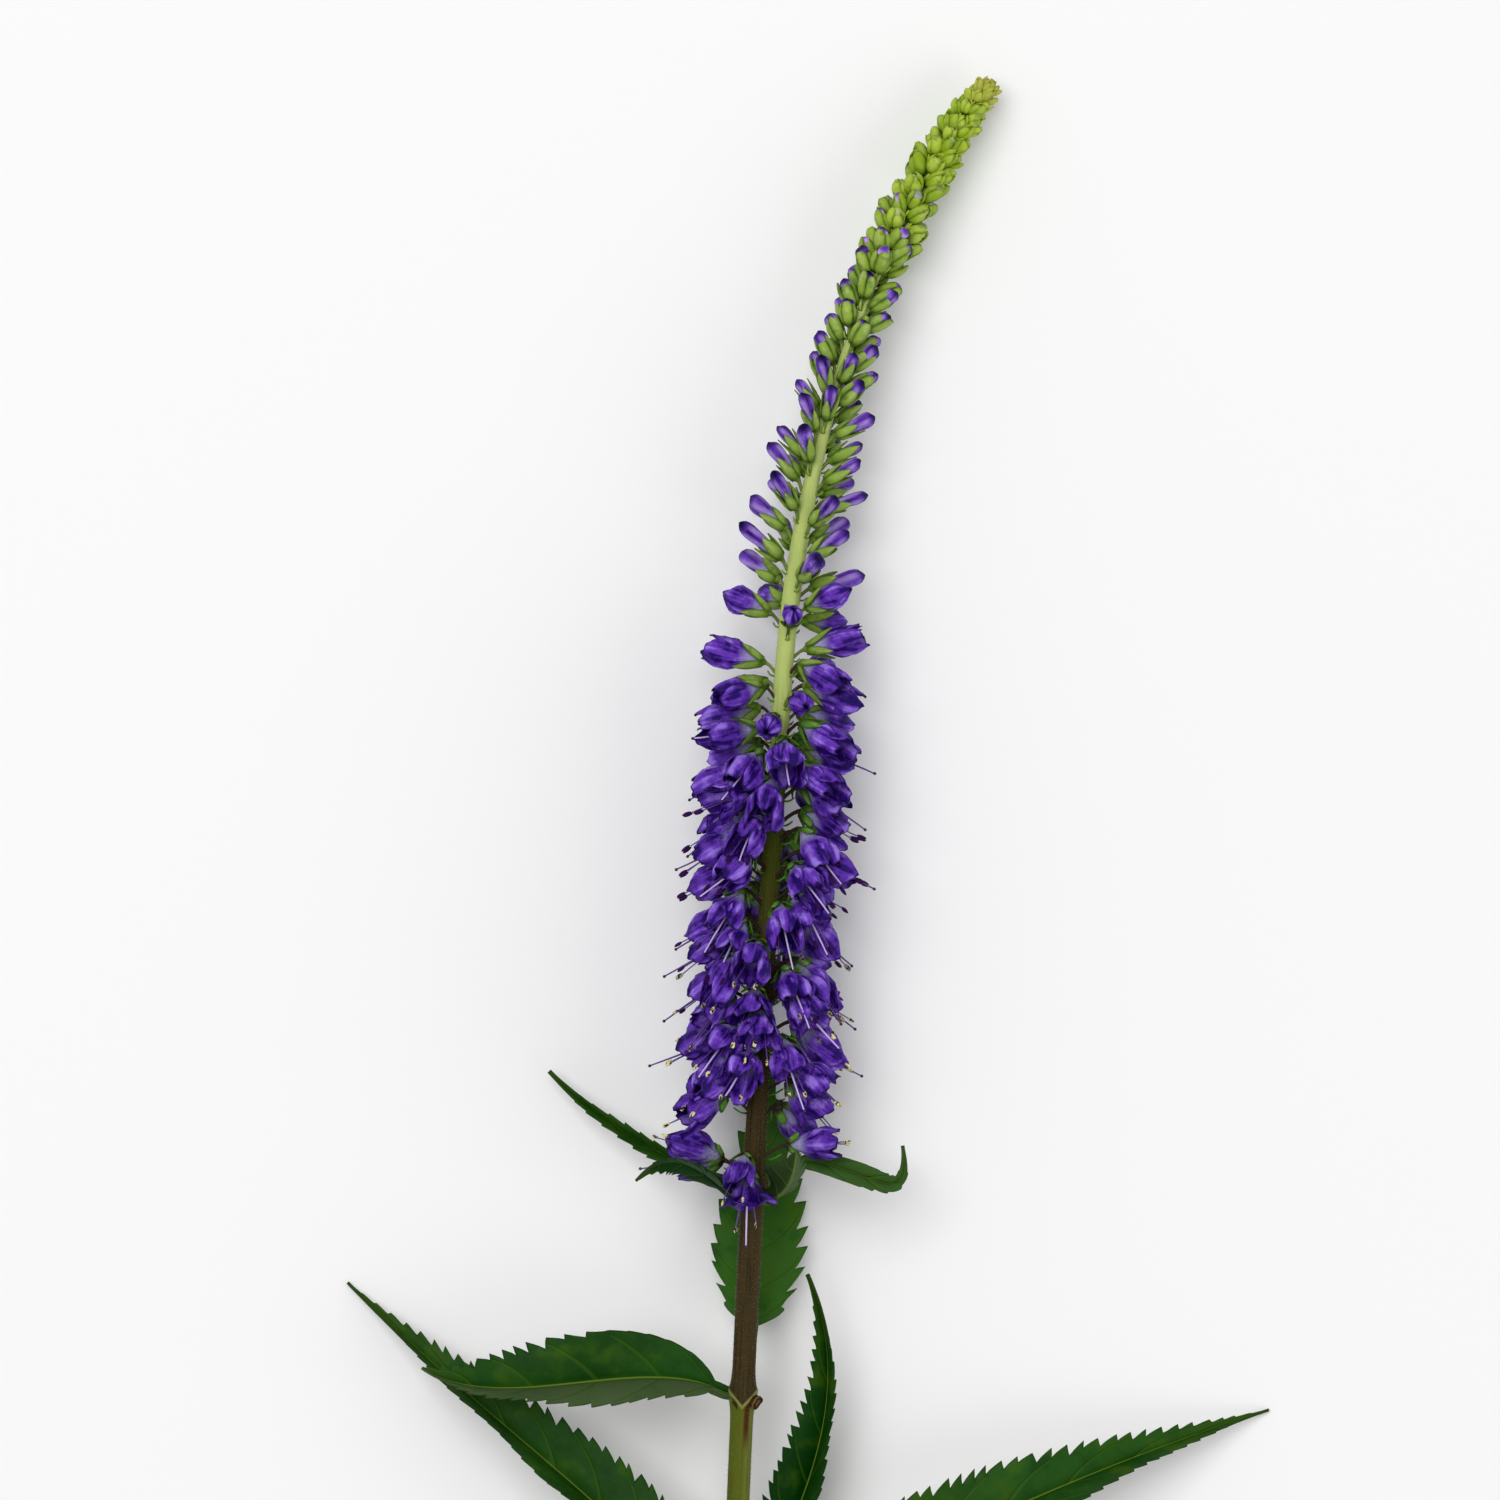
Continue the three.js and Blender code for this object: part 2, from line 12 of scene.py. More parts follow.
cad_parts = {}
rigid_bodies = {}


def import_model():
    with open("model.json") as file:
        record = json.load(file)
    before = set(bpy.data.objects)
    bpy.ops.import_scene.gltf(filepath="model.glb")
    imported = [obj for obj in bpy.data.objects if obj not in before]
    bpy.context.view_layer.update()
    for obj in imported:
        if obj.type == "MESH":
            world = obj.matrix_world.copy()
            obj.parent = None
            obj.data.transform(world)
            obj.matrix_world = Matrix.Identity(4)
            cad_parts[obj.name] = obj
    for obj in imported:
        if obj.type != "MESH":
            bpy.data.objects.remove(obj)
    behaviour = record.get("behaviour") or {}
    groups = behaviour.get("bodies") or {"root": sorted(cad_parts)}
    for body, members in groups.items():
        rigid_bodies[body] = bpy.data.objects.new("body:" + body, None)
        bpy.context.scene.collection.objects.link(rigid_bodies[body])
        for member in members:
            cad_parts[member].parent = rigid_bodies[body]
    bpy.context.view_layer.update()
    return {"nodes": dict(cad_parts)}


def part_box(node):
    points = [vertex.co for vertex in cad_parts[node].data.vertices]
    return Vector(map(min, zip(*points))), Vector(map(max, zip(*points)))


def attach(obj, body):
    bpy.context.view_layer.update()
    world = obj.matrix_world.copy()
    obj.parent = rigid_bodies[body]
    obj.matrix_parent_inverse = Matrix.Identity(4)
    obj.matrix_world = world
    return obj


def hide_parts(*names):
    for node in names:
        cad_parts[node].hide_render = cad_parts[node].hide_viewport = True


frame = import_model()
MM = 0.001

# The view and the studio
#
# The camera looks straight down on the upper half of the stem, as the photograph shows it. The stage is a
# pale floor under one broad soft light overhead, a weaker one from the side and a white sky. They are placed
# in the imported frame, in metres.
VIEW_CENTRE = Vector((-7.54, 99.2, 13)) * MM
VIEW_WIDTH = 195 * MM
CAMERA_HEIGHT = 1200 * MM
SENSOR_WIDTH = 36
SKY_STRENGTH = 0.46

camera_data = bpy.data.cameras.new("camera")
camera_data.sensor_width = SENSOR_WIDTH
camera_data.lens = SENSOR_WIDTH * CAMERA_HEIGHT / VIEW_WIDTH
camera_data.clip_start = 0.01
camera_data.clip_end = 20
camera = bpy.data.objects.new("camera", camera_data)
camera.location = VIEW_CENTRE + Vector((0, 0, CAMERA_HEIGHT))
bpy.context.scene.collection.objects.link(camera)
bpy.context.scene.camera = camera
bpy.context.scene.view_settings.view_transform = "Standard"


def linear(red, green, blue):
    """The colour of a screen's 0 to 255 values, as the shaders take it."""
    shares = [value / 255 for value in (red, green, blue)]
    return tuple(share / 12.92 if share <= 0.04045 else ((share + 0.055) / 1.055) ** 2.4
                 for share in shares) + (1.0,)


def added_node(tree, kind, settings, sockets):
    """A new node of a tree, first set and then given the links or values of its sockets."""
    made = tree.nodes.new(kind)
    for key, value in settings.items():
        setattr(made, key, value)
    for key, value in sockets.items():
        if isinstance(value, bpy.types.NodeSocket):
            tree.links.new(value, made.inputs[key])
        else:
            made.inputs[key].default_value = value
    return made


class Number:
    """A number that varies over a surface. Sums written with it add Math nodes to its finish."""

    def __init__(self, finish, socket):
        self.finish = finish
        self.socket = socket

    def worked(self, operation, *values):
        return self.finish.node("ShaderNodeMath", {"operation": operation}, dict(enumerate(values)))

    def __add__(self, other):
        return self.worked("ADD", self, other)

    def __sub__(self, other):
        return self.worked("SUBTRACT", self, other)

    def __rsub__(self, other):
        return self.worked("SUBTRACT", other, self)

    def __mul__(self, other):
        return self.worked("MULTIPLY", self, other)

    def __abs__(self):
        return self.worked("ABSOLUTE", self)

    __radd__ = __add__
    __rmul__ = __mul__

    def off_whole(self):
        """How far it is from the nearest whole number."""
        return abs(self.worked("FRACT", self + 0.5) - 0.5)

    def eased(self, start, end):
        """A smooth step from 0 at start to 1 at end."""
        return self.finish.node("ShaderNodeMapRange", {"interpolation_type": "SMOOTHSTEP"},
                                {"Value": self, "From Min": start, "From Max": end})


class Finish:
    """A material as it is put together from nodes."""

    def __init__(self, name):
        self.material = bpy.data.materials.new(name)
        self.material.use_nodes = True
        self.tree = self.material.node_tree
        self.tree.nodes.clear()

    def node(self, kind, settings, sockets, output=0):
        """One output of a new node. Sockets go by name, or by number where names repeat."""
        bare = {key: value.socket if isinstance(value, Number) else value for key, value in sockets.items()}
        made = added_node(self.tree, kind, settings, bare)
        return Number(self, made.outputs[output]) if made.outputs else None

    def number(self, name):
        """A number that the mesh carries on its points."""
        return self.node("ShaderNodeAttribute", {"attribute_name": name}, {}, "Fac")

    def numbers(self, *names):
        return [self.number(name) for name in names]

    def place(self):
        return self.node("ShaderNodeTexCoord", {}, {}, "Object")

    def joined(self, x, y, z):
        return self.node("ShaderNodeCombineXYZ", {}, {"X": x, "Y": y, "Z": z})

    def noise(self, vector, scale, detail=3.0):
        return self.node("ShaderNodeTexNoise", {}, {"Vector": vector, "Scale": scale, "Detail": detail})

    def mixed(self, first, second, share):
        """A colour between two others."""
        return self.node("ShaderNodeMix", {"data_type": "RGBA"}, {0: share, 6: first, 7: second}, 2)

    def layered(self, colour, *layers):
        """A colour with others laid over it in turn. Each layer is a colour and its share."""
        for over, share in layers:
            colour = self.mixed(colour, over, share)
        return colour

    def surface(self, colour, roughness, shine=0.5, relief=None, depth=0.0, others=None):
        """Ends the material in one Principled shader. Relief is a height, its depth is in millimetres."""
        sockets = {"Base Color": colour, "Roughness": roughness, "Specular IOR Level": shine}
        sockets.update(others or {})
        if relief:
            sockets["Normal"] = self.node("ShaderNodeBump", {}, {"Height": relief, "Distance": depth * MM,
                                                                 "Strength": 1.0})
        shader = self.node("ShaderNodeBsdfPrincipled", {}, sockets)
        self.node("ShaderNodeOutputMaterial", {}, {"Surface": shader})
        return self.material


HALF_FLOOR = 3.0
FLOOR_GREY = linear(246, 246, 246)
FLOOR_MATERIAL = Finish("floor_paper").surface(FLOOR_GREY, 0.9, 0.1)

floor_mesh = bpy.data.meshes.new("floor")
floor_corners = [(-HALF_FLOOR, -HALF_FLOOR, 0), (HALF_FLOOR, -HALF_FLOOR, 0),
                 (HALF_FLOOR, HALF_FLOOR, 0), (-HALF_FLOOR, HALF_FLOOR, 0)]
floor_mesh.from_pydata(floor_corners, [], [(0, 1, 2, 3)])
floor_mesh.materials.append(FLOOR_MATERIAL)
floor = bpy.data.objects.new("floor", floor_mesh)
bpy.context.scene.collection.objects.link(floor)


def soft_light(name, place, size, watts):
    """A square area light that faces the middle of the view."""
    data = bpy.data.lights.new(name, "AREA")
    data.shape = "SQUARE"
    data.size = size
    data.energy = watts
    light = bpy.data.objects.new(name, data)
    light.location = place
    light.rotation_euler = (VIEW_CENTRE - Vector(place)).to_track_quat("-Z", "Y").to_euler()
    bpy.context.scene.collection.objects.link(light)


soft_light("light_above", place=(-0.5, 0.6, 1.9), size=1.4, watts=24)
soft_light("light_side", place=(1.3, -0.5, 1.1), size=1.2, watts=6)

sky = bpy.data.worlds.new("sky")
sky.use_nodes = True
background = sky.node_tree.nodes["Background"]
background.inputs["Color"].default_value = (1, 1, 1, 1)
background.inputs["Strength"].default_value = SKY_STRENGTH
bpy.context.scene.world = sky

# The stalk
#
# A round stalk, green below the middle whorl, brown purple above it and pale green in the spike, with a
# thickened node at each whorl. It lies on the surface along its lower stretch, where its underside is
# pressed flat. A dry scar shows where one leaf of the middle whorl has broken off.
CUT_RADIUS = 1.75
LOWER_NODE = 170
MIDDLE_NODE = 204
UPPER_NODE = 231
BARE_NODES = (18, 58, 98, 135)
LEAFY_NODES = (LOWER_NODE, MIDDLE_NODE, UPPER_NODE)
NODE_SWELLING = 0.35
NODE_REACH = 1.8
STEM_END = 232.6
SPIKE_END = 380

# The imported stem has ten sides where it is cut, and lies on one of them.
STEM_SIDES = 10
CUT_CENTRE_HEIGHT = CUT_RADIUS * math.cos(math.pi / STEM_SIDES)

# Each row is a place on the stem, as a length from its cut end, and the value there. The stem leans to the
# right and rises off the surface, both in degrees.
RADIUS_KEYS = [(0, CUT_RADIUS), (90, CUT_RADIUS), (190, 1.5), (230, 1.55), (240, 1.35), (294, 1.2),
               (308, 1.2), (319, 1.1), (332, 0.85), (345, 0.65), (380, 0.4)]
LEAN_KEYS = [(0, 0.6), (190, 2.4), (297, 3.9), (340, 17.9), (380, 37)]
RISE_KEYS = [(0, 0), (75, 0), (155, 9), (238, 0), (275, -3), (330, -4), (380, -8)]
UP = Vector((0, 0, 1))


def value_at(keys, place):
    return float(np.interp(place, *zip(*keys)))


def draw(series, index):
    """A repeatable draw from 0 to 1."""
    value = math.sin(series * 12.9898 + index * 78.233) * 43758.5453
    return value - math.floor(value)


def heading_at(place):
    lean = math.radians(value_at(LEAN_KEYS, place))
    rise = math.radians(value_at(RISE_KEYS, place))
    return Vector((math.sin(lean) * math.cos(rise), math.cos(lean) * math.cos(rise), math.sin(rise)))


line_points = [Vector((0, 0, CUT_CENTRE_HEIGHT))]
for step in range(SPIKE_END):
    line_points.append(line_points[step] + heading_at(step + 0.5))


class Stand:
    """Where the stem is at a place along it, and the way that it heads there."""

    def __init__(self, place):
        index = min(int(place), SPIKE_END - 1)
        self.point = line_points[index].lerp(line_points[index + 1], place - index)
        self.forward = heading_at(place)
        self.right = self.forward.cross(UP).normalized()
        self.up = self.right.cross(self.forward)

    def outward(self, turn):
        """Away from the stem's line, by the turn from its upper side towards its right."""
        return self.up * math.cos(turn) + self.right * math.sin(turn)


def stem_radius(place):
    swelling = sum(math.exp(-(((place - node) / NODE_REACH) ** 2)) for node in (*BARE_NODES, *LEAFY_NODES))
    return value_at(RADIUS_KEYS, place) + NODE_SWELLING * swelling


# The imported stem's cut ring says where this frame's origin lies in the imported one.
CUT_RING_DEPTH = 0.2 * MM
stem_low_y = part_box("stem")[0].y
cut_ring = [vertex.co for vertex in frame["nodes"]["stem"].data.vertices
            if vertex.co.y < stem_low_y + CUT_RING_DEPTH]
CUT_END = Vector(((min(point.x for point in cut_ring) + max(point.x for point in cut_ring)) / 2,
                  (min(point.y for point in cut_ring) + max(point.y for point in cut_ring)) / 2, 0))


def shown(mesh, name, slot, *nodes):
    """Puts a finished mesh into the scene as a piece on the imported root."""
    piece = bpy.data.objects.new(name, mesh)
    bpy.context.scene.collection.objects.link(piece)
    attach(piece, "root")
    if nodes:
        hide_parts(*nodes)


def carry(mesh, numbers):
    """Gives the points of a mesh the numbers that its finish or its tree reads."""
    for key, values in numbers.items():
        mesh.attributes.new(key, "FLOAT", "POINT").data.foreach_set("value", values)


class Shape:
    """The points and faces of a mesh as it is put together, with the numbers that its points carry."""

    def __init__(self):
        self.points = []
        self.faces = []
        self.slots = []
        self.numbers = {}

    def add(self, points, faces, numbers, slots=None):
        start = len(self.points)
        self.points.extend(tuple(point) for point in points)
        self.faces.extend(tuple(start + corner for corner in face) for face in faces)
        self.slots.extend(slots or [0] * len(faces))
        for name, values in numbers.items():
            self.numbers.setdefault(name, []).extend(np.asarray(values, float).ravel())
        return self

    def mesh(self, name, origin):
        """The finished mesh in metres, moved to an origin."""
        mesh = bpy.data.meshes.new(name)
        mesh.from_pydata([Vector(point) * MM + origin for point in self.points], [], self.faces)
        carry(mesh, self.numbers)
        mesh.polygons.foreach_set("material_index", self.slots)
        mesh.polygons.foreach_set("use_smooth", [True] * len(mesh.polygons))
        mesh.update()
        return mesh

    def piece(self, name, slot, materials, *nodes):
        """Shows the shape as a piece of its own, and returns its mesh."""
        mesh = self.mesh(name, CUT_END)
        for material in materials:
            mesh.materials.append(material)
        shown(mesh, name, slot, *nodes)
        return mesh


def closed_tube(rings):
    """Points and faces of a solid round rings that turn with the line, capped at both ends."""
    rings = np.asarray(rings)
    count, sides = rings.shape[:2]
    points = np.concatenate([rings.reshape(-1, 3), [rings[0].mean(axis=0), rings[-1].mean(axis=0)]])
    faces = []
    for row in range(count - 1):
        for side in range(sides):
            near = row * sides + side
            beside = row * sides + (side + 1) % sides
            faces.append((near, beside, beside + sides, near + sides))
    first_middle = count * sides
    last_ring = (count - 1) * sides
    for side in range(sides):
        following = (side + 1) % sides
        faces.append((following, side, first_middle))
        faces.append((last_ring + side, last_ring + following, first_middle + 1))
    return points, faces


# Round each leafy node the skin has finer rings and a raised collar, which dips in a V on the upper side.
SKIN_SIDES = 28
SKIN_STEP = 0.7
NODE_STEP = 0.16
FINE_BELOW = 3.2
FINE_ABOVE = 1.4
FINE_MIDDLE = 0.9
FINE_HALF = 2.4
COLLAR_RISE = 0.5
COLLAR_VEE = 2.1
COLLAR_HEIGHT = 0.16
COLLAR_WIDTH = 0.4
RIB_COUNT = 7
RIB_DEPTH = 0.03
RIB_TWIST = 0.02


def ring_places(start, end):
    """Places of the skin's rings, closer together round the leafy nodes."""
    places = set(np.linspace(start, end, int((end - start) / SKIN_STEP) + 1))
    for node in LEAFY_NODES:
        places = {place for place in places
                  if abs(place - node + FINE_MIDDLE) > FINE_HALF or place in (start, end)}
        near = np.arange(node - FINE_BELOW, node + FINE_ABOVE, NODE_STEP)
        places.update(place for place in near if start < place < end)
    return sorted(places)


def skin_piece(name, start, end, radius_share, *nodes):
    """The ribbed skin of a stretch of the stem, kept above the surface."""
    rings = []
    numbers = {"place": [], "turn_x": [], "turn_y": []}
    for place in ring_places(start, end):
        stand = Stand(place)
        ring = []
        for side in range(SKIN_SIDES):
            turn = math.pi + 2 * math.pi * side / SKIN_SIDES
            rib = 1 - RIB_DEPTH * (0.5 + 0.5 * math.cos(RIB_COUNT * turn + RIB_TWIST * place))
            radius = stem_radius(place) * rib * radius_share(place)
            for node in LEAFY_NODES:
                collar = node + COLLAR_RISE - COLLAR_VEE * (1 - abs(math.sin(turn)))
                radius += COLLAR_HEIGHT * math.exp(-(((place - collar) / COLLAR_WIDTH) ** 2))
            point = stand.point + stand.outward(turn) * radius
            point.z = max(point.z, 0)
            ring.append(point)
            numbers["place"].append(place)
            numbers["turn_x"].append(math.cos(turn))
            numbers["turn_y"].append(math.sin(turn))
        rings.append(ring)
    numbers["place"].extend((start, end))
    numbers["turn_x"].extend((0, 0))
    numbers["turn_y"].extend((0, 0))
    return Shape().add(*closed_tube(rings), numbers).piece(name, "stem", [STEM_MATERIAL], *nodes)


STEM_GREEN = linear(84, 94, 20)
# The next colour is painted light, for the stem's lit right side.
STEM_LIT_SIDE = linear(118, 126, 58)
STEM_BROWN = linear(60, 48, 20)
STEM_DUSKY = linear(42, 32, 16)
STEM_OLIVE = linear(72, 80, 12)
STEM_PALE = linear(184, 200, 116)
STEM_LIME = linear(156, 176, 54)
STREAK_BROWN = linear(78, 66, 26)
SCAR_BROWN = linear(70, 34, 10)
SLIT_BROWN = linear(38, 18, 8)
COLLAR_PALE = linear(142, 148, 84)
PITH = linear(200, 206, 150)
FUZZ = linear(186, 178, 150)

# Where along the stem each colour gives way to the next, and how far that is shifted in streaks.
COLOUR_SHIFT = 16
LIT_SIDE_FADES = (205, 235)
STREAKS_FADE = (200, 206)
OLIVE_COMES = (256, 270)
BROWN_FADES = (258, 277)
PALE_COMES = (282, 297)
LIME_COMES = (345, 372)
SCAR_STREAK_COMES = (195.5, 200)
SCAR_STREAK_SIDE = 0.42
SLIT_SIDE = -0.55


def stem_finish():
    """Green, brown purple, then pale green by the place on the stem, streaked lengthwise, with painted light
    on its right side.
    """
    finish = Finish("stem_skin")
    place, turn_x, turn_y = finish.numbers("place", "turn_x", "turn_y")
    skin = finish.joined(turn_x * 2.2, turn_y * 2.2, place * 0.045)
    streaks = finish.noise(skin, 2.4, 4.0)
    grain = finish.noise(skin, 9.0)
    shifted = place + (streaks - 0.5) * COLOUR_SHIFT
    past_collar = place - (MIDDLE_NODE + COLLAR_RISE - (1 - abs(turn_y)) * COLLAR_VEE)
    upper_side = turn_x.eased(0, 0.4)

    # Painted light: the right side is made paler, as a lit side, and this fades out above the middle node.
    lit_side = turn_y.eased(0.1, 0.85) * (1 - place.eased(*LIT_SIDE_FADES)) * 0.7
    green = finish.layered(STEM_GREEN, (STEM_LIT_SIDE, lit_side), (STEM_OLIVE, shifted.eased(*OLIVE_COMES)),
                           (STEM_PALE, shifted.eased(*PALE_COMES)), (STEM_LIME, shifted.eased(*LIME_COMES)))
    brown = finish.mixed(STEM_BROWN, STEM_DUSKY, streaks.eased(0.48, 0.68))
    brown_share = past_collar.eased(0.0, 0.5) * (1 - shifted.eased(*BROWN_FADES))
    lower_streak = streaks.eased(0.5, 0.72) * (1 - shifted.eased(*STREAKS_FADE)) * 0.6
    beside_scar = 1 - abs(turn_y - SCAR_STREAK_SIDE).eased(0.1, 0.34)
    scar_streak = place.eased(*SCAR_STREAK_COMES) * (1 - past_collar.eased(-0.6, 0.0)) * beside_scar
    near_node = 1 - abs(past_collar).eased(0.1, 0.42)
    for node in (LOWER_NODE, *BARE_NODES):
        near_node = near_node + (1 - abs(place - node).eased(0.4, 2.4)) * 0.5
    slit = (1 - abs(past_collar + 0.7).eased(0.25, 0.7)) * (1 - abs(turn_y - SLIT_SIDE).eased(0.1, 0.3))
    colour = finish.layered(green, (brown, brown_share), (STREAK_BROWN, lower_streak),
                            (SCAR_BROWN, scar_streak * upper_side), (COLLAR_PALE, near_node * 0.6),
                            (SLIT_BROWN, slit * upper_side * 0.9), (PITH, 1 - place.eased(0.02, 0.2)),
                            (FUZZ, grain.eased(0.62, 0.8) * 0.12))
    return finish.surface(colour, 0.62, 0.09, relief=streaks * 0.6 + grain * 0.4, depth=0.15,
                          others={"Sheen Weight": 0.08, "Sheen Roughness": 0.3, "Sheen Tint": FUZZ})


STEM_MATERIAL = stem_finish()
stem_mesh = skin_piece("stem_skin", 0, STEM_END, lambda place: 1, "stem")

# The scar is a short ragged stub. Its profile's rows are a share of its length and of its radius.
SCAR_END = Vector((2.0, -1.2, 14.6))
SCAR_RADIUS = 1.05
SCAR_SIDES = 12
SCAR_PROFILE = [(0, 0.6), (0.45, 0.72), (0.8, 0.84), (0.93, 0.92), (1, 0.86), (1.0, 0.62), (0.95, 0.3)]
SCAR_RIM = 0.93
SCAR_ROUGHNESS = 0.22
SCAR_RAGGEDNESS = 0.05


def scar_finish():
    """Dry brown where a leaf has broken off, cracked and paler at its rim."""
    finish = Finish("leaf_scar")
    along = finish.number("along")
    grain = finish.noise(finish.place(), 2200.0, 4.0)
    rim = 1 - abs(along - SCAR_RIM).eased(0.02, 0.06)
    dry = finish.layered(SCAR_BROWN, (SLIT_BROWN, grain.eased(0.42, 0.62)), (COLLAR_PALE, rim * 0.3))
    colour = finish.mixed(STEM_GREEN, dry, along.eased(0.5, 0.75))
    return finish.surface(colour, 0.8, 0.15, relief=grain, depth=0.25)


scar_heart = Stand(MIDDLE_NODE).point
scar_way = Vector((scar_heart.x + SCAR_END.x, scar_heart.y + SCAR_END.y, SCAR_END.z)) - scar_heart
scar_side = scar_way.cross(UP).normalized()
scar_top = scar_side.cross(scar_way).normalized()
rings = []
for row, (share, radius) in enumerate(SCAR_PROFILE):
    ring = []
    for side in range(SCAR_SIDES):
        turn = 2 * math.pi * side / SCAR_SIDES
        rough = 1 + SCAR_ROUGHNESS * (draw(80 + row // 2, side) - 0.5) * min(1, share / 0.8)
        along = share + SCAR_RAGGEDNESS * (draw(90, side) - 0.5) * (share > 0.7)
        outward = scar_top * math.cos(turn) + scar_side * math.sin(turn)
        ring.append(scar_heart + scar_way * along + outward * radius * SCAR_RADIUS * rough)
    rings.append(ring)
scar_shares = [share for share, radius in SCAR_PROFILE]
scar_along = np.append(np.repeat(scar_shares, SCAR_SIDES), (0, scar_shares[-1]))
Shape().add(*closed_tube(rings), {"along": scar_along}).piece("leaf_scar", "stem", [scar_finish()])

# The rachis carries the spike on from the stalk, a little thinner than it where the two meet.
RACHIS_START = 231.9
RACHIS_END = SPIKE_END - 0.6


def rachis_share(place):
    return min(1, 0.9 + (place - RACHIS_START) / 10)


rachis_mesh = skin_piece("rachis_skin", RACHIS_START, RACHIS_END, rachis_share)

# Fine hairs
#
# Short pale hairs stand out all over the stalk and the rachis. Each grows from the skin beneath it, and
# there are none on the cut end or where the stalk lies on the surface.
HAIR_LENGTH = 0.3 * MM
HAIR_RADIUS = 0.015 * MM
HAIR_SIZES = (0.55, 1.2)
HAIRS_TO_A_SQUARE_METRE = 6e6
HAIR_LEAN = 0.7
BARE_HEIGHT = 0.6 * MM
BARE_CUT = 0.3
HAIR_COLOUR = linear(160, 152, 116)
HAIR_MATERIAL = Finish("stem_hair").surface(HAIR_COLOUR, 0.6, 0.2)


class Tree:
    """A geometry node tree as it is put together, with its inputs named."""

    def __init__(self, name, inputs):
        self.tree = bpy.data.node_groups.new(name, "GeometryNodeTree")
        self.tree.interface.new_socket("Geometry", in_out="OUTPUT", socket_type="NodeSocketGeometry")
        self.tree.interface.new_socket("Geometry", in_out="INPUT", socket_type="NodeSocketGeometry")
        self.keys = {}
        for label, kind in inputs.items():
            socket = self.tree.interface.new_socket(label, in_out="INPUT", socket_type=kind)
            self.keys[label] = socket.identifier
        self.entry = self.tree.nodes.new("NodeGroupInput")
        self.exit = self.tree.nodes.new("NodeGroupOutput")

    def given(self, label):
        """The socket of one of the tree's own inputs."""
        return self.entry.outputs[label]

    def node(self, kind, settings, sockets, output=0):
        return added_node(self.tree, kind, settings, sockets).outputs[output]

    def carried(self, name, kind):
        """What the points carry under a name."""
        return self.node("GeometryNodeInputNamedAttribute", {"data_type": kind}, {"Name": name})

    def over(self, value, limit):
        return self.node("FunctionNodeCompare", {"operation": "GREATER_THAN"}, {0: value, 1: limit})

    def scaled(self, vector, scale):
        return self.node("ShaderNodeVectorMath", {"operation": "SCALE"}, {0: vector, "Scale": scale})

    def ended(self, geometry, material):
        """Ends the tree in real faces of one material."""
        real = self.node("GeometryNodeRealizeInstances", {}, {"Geometry": geometry})
        dressed = self.node("GeometryNodeSetMaterial", {}, {"Geometry": real, "Material": material})
        self.tree.links.new(dressed, self.exit.inputs["Geometry"])

    def grown_on(self, mesh, values):
        """The plain mesh that the tree makes of another, with values for the tree's own inputs."""
        host = bpy.data.objects.new(mesh.name, mesh)
        bpy.context.scene.collection.objects.link(host)
        modifier = host.modifiers.new("tree", "NODES")
        modifier.node_group = self.tree
        for label, value in values.items():
            modifier[self.keys[label]] = value
        depsgraph = bpy.context.evaluated_depsgraph_get()
        result = bpy.data.meshes.new_from_object(host.evaluated_get(depsgraph), depsgraph=depsgraph)
        host.modifiers.clear()
        bpy.data.objects.remove(host)
        result.polygons.foreach_set("use_smooth", [True] * len(result.polygons))
        return result


def hair_tree():
    """Thin cones scattered on a skin, each leaning a little its own way."""
    tree = Tree("hairs", {"Density": "NodeSocketFloat", "Length": "NodeSocketFloat",
                          "Radius": "NodeSocketFloat", "Lean": "NodeSocketFloat"})
    height = tree.node("ShaderNodeSeparateXYZ", {}, {0: tree.node("GeometryNodeInputPosition", {}, {})}, "Z")
    haired = tree.node("FunctionNodeBooleanMath", {"operation": "AND"},
                       {0: tree.over(height, BARE_HEIGHT),
                        1: tree.over(tree.carried("place", "FLOAT"), BARE_CUT)})
    scatter = tree.node("GeometryNodeDistributePointsOnFaces", {},
                        {"Mesh": tree.given("Geometry"), "Selection": haired,
                         "Density": tree.given("Density"), "Seed": 4})
    lean = tree.scaled((1, 1, 0), tree.given("Lean"))
    turned = tree.node("FunctionNodeRandomValue", {"data_type": "FLOAT_VECTOR"},
                       {0: tree.scaled(lean, -1.0), 1: lean, "Seed": 7})
    as_rotation = tree.node("FunctionNodeEulerToRotation", {}, {"Euler": turned})
    facing = tree.node("FunctionNodeRotateRotation", {"rotation_space": "LOCAL"},
                       {"Rotation": scatter.node.outputs["Rotation"], "Rotate By": as_rotation})
    hair = tree.node("GeometryNodeMeshCone", {},
                     {"Vertices": 3, "Radius Top": 0.0, "Radius Bottom": tree.given("Radius"),
                      "Depth": tree.given("Length")})
    size = tree.node("FunctionNodeRandomValue", {"data_type": "FLOAT"},
                     {2: HAIR_SIZES[0], 3: HAIR_SIZES[1], "Seed": 9}, 1)
    hairs = tree.node("GeometryNodeInstanceOnPoints", {},
                      {"Points": scatter, "Instance": hair, "Rotation": facing, "Scale": size})
    tree.ended(hairs, HAIR_MATERIAL)
    return tree


HAIR_TREE = hair_tree()
for skin, name in ((stem_mesh, "stem_hairs"), (rachis_mesh, "rachis_hairs")):
    hairs = HAIR_TREE.grown_on(skin, {"Density": HAIRS_TO_A_SQUARE_METRE, "Length": HAIR_LENGTH,
                                      "Radius": HAIR_RADIUS, "Lean": HAIR_LEAN})
    shown(hairs, name, "stem")
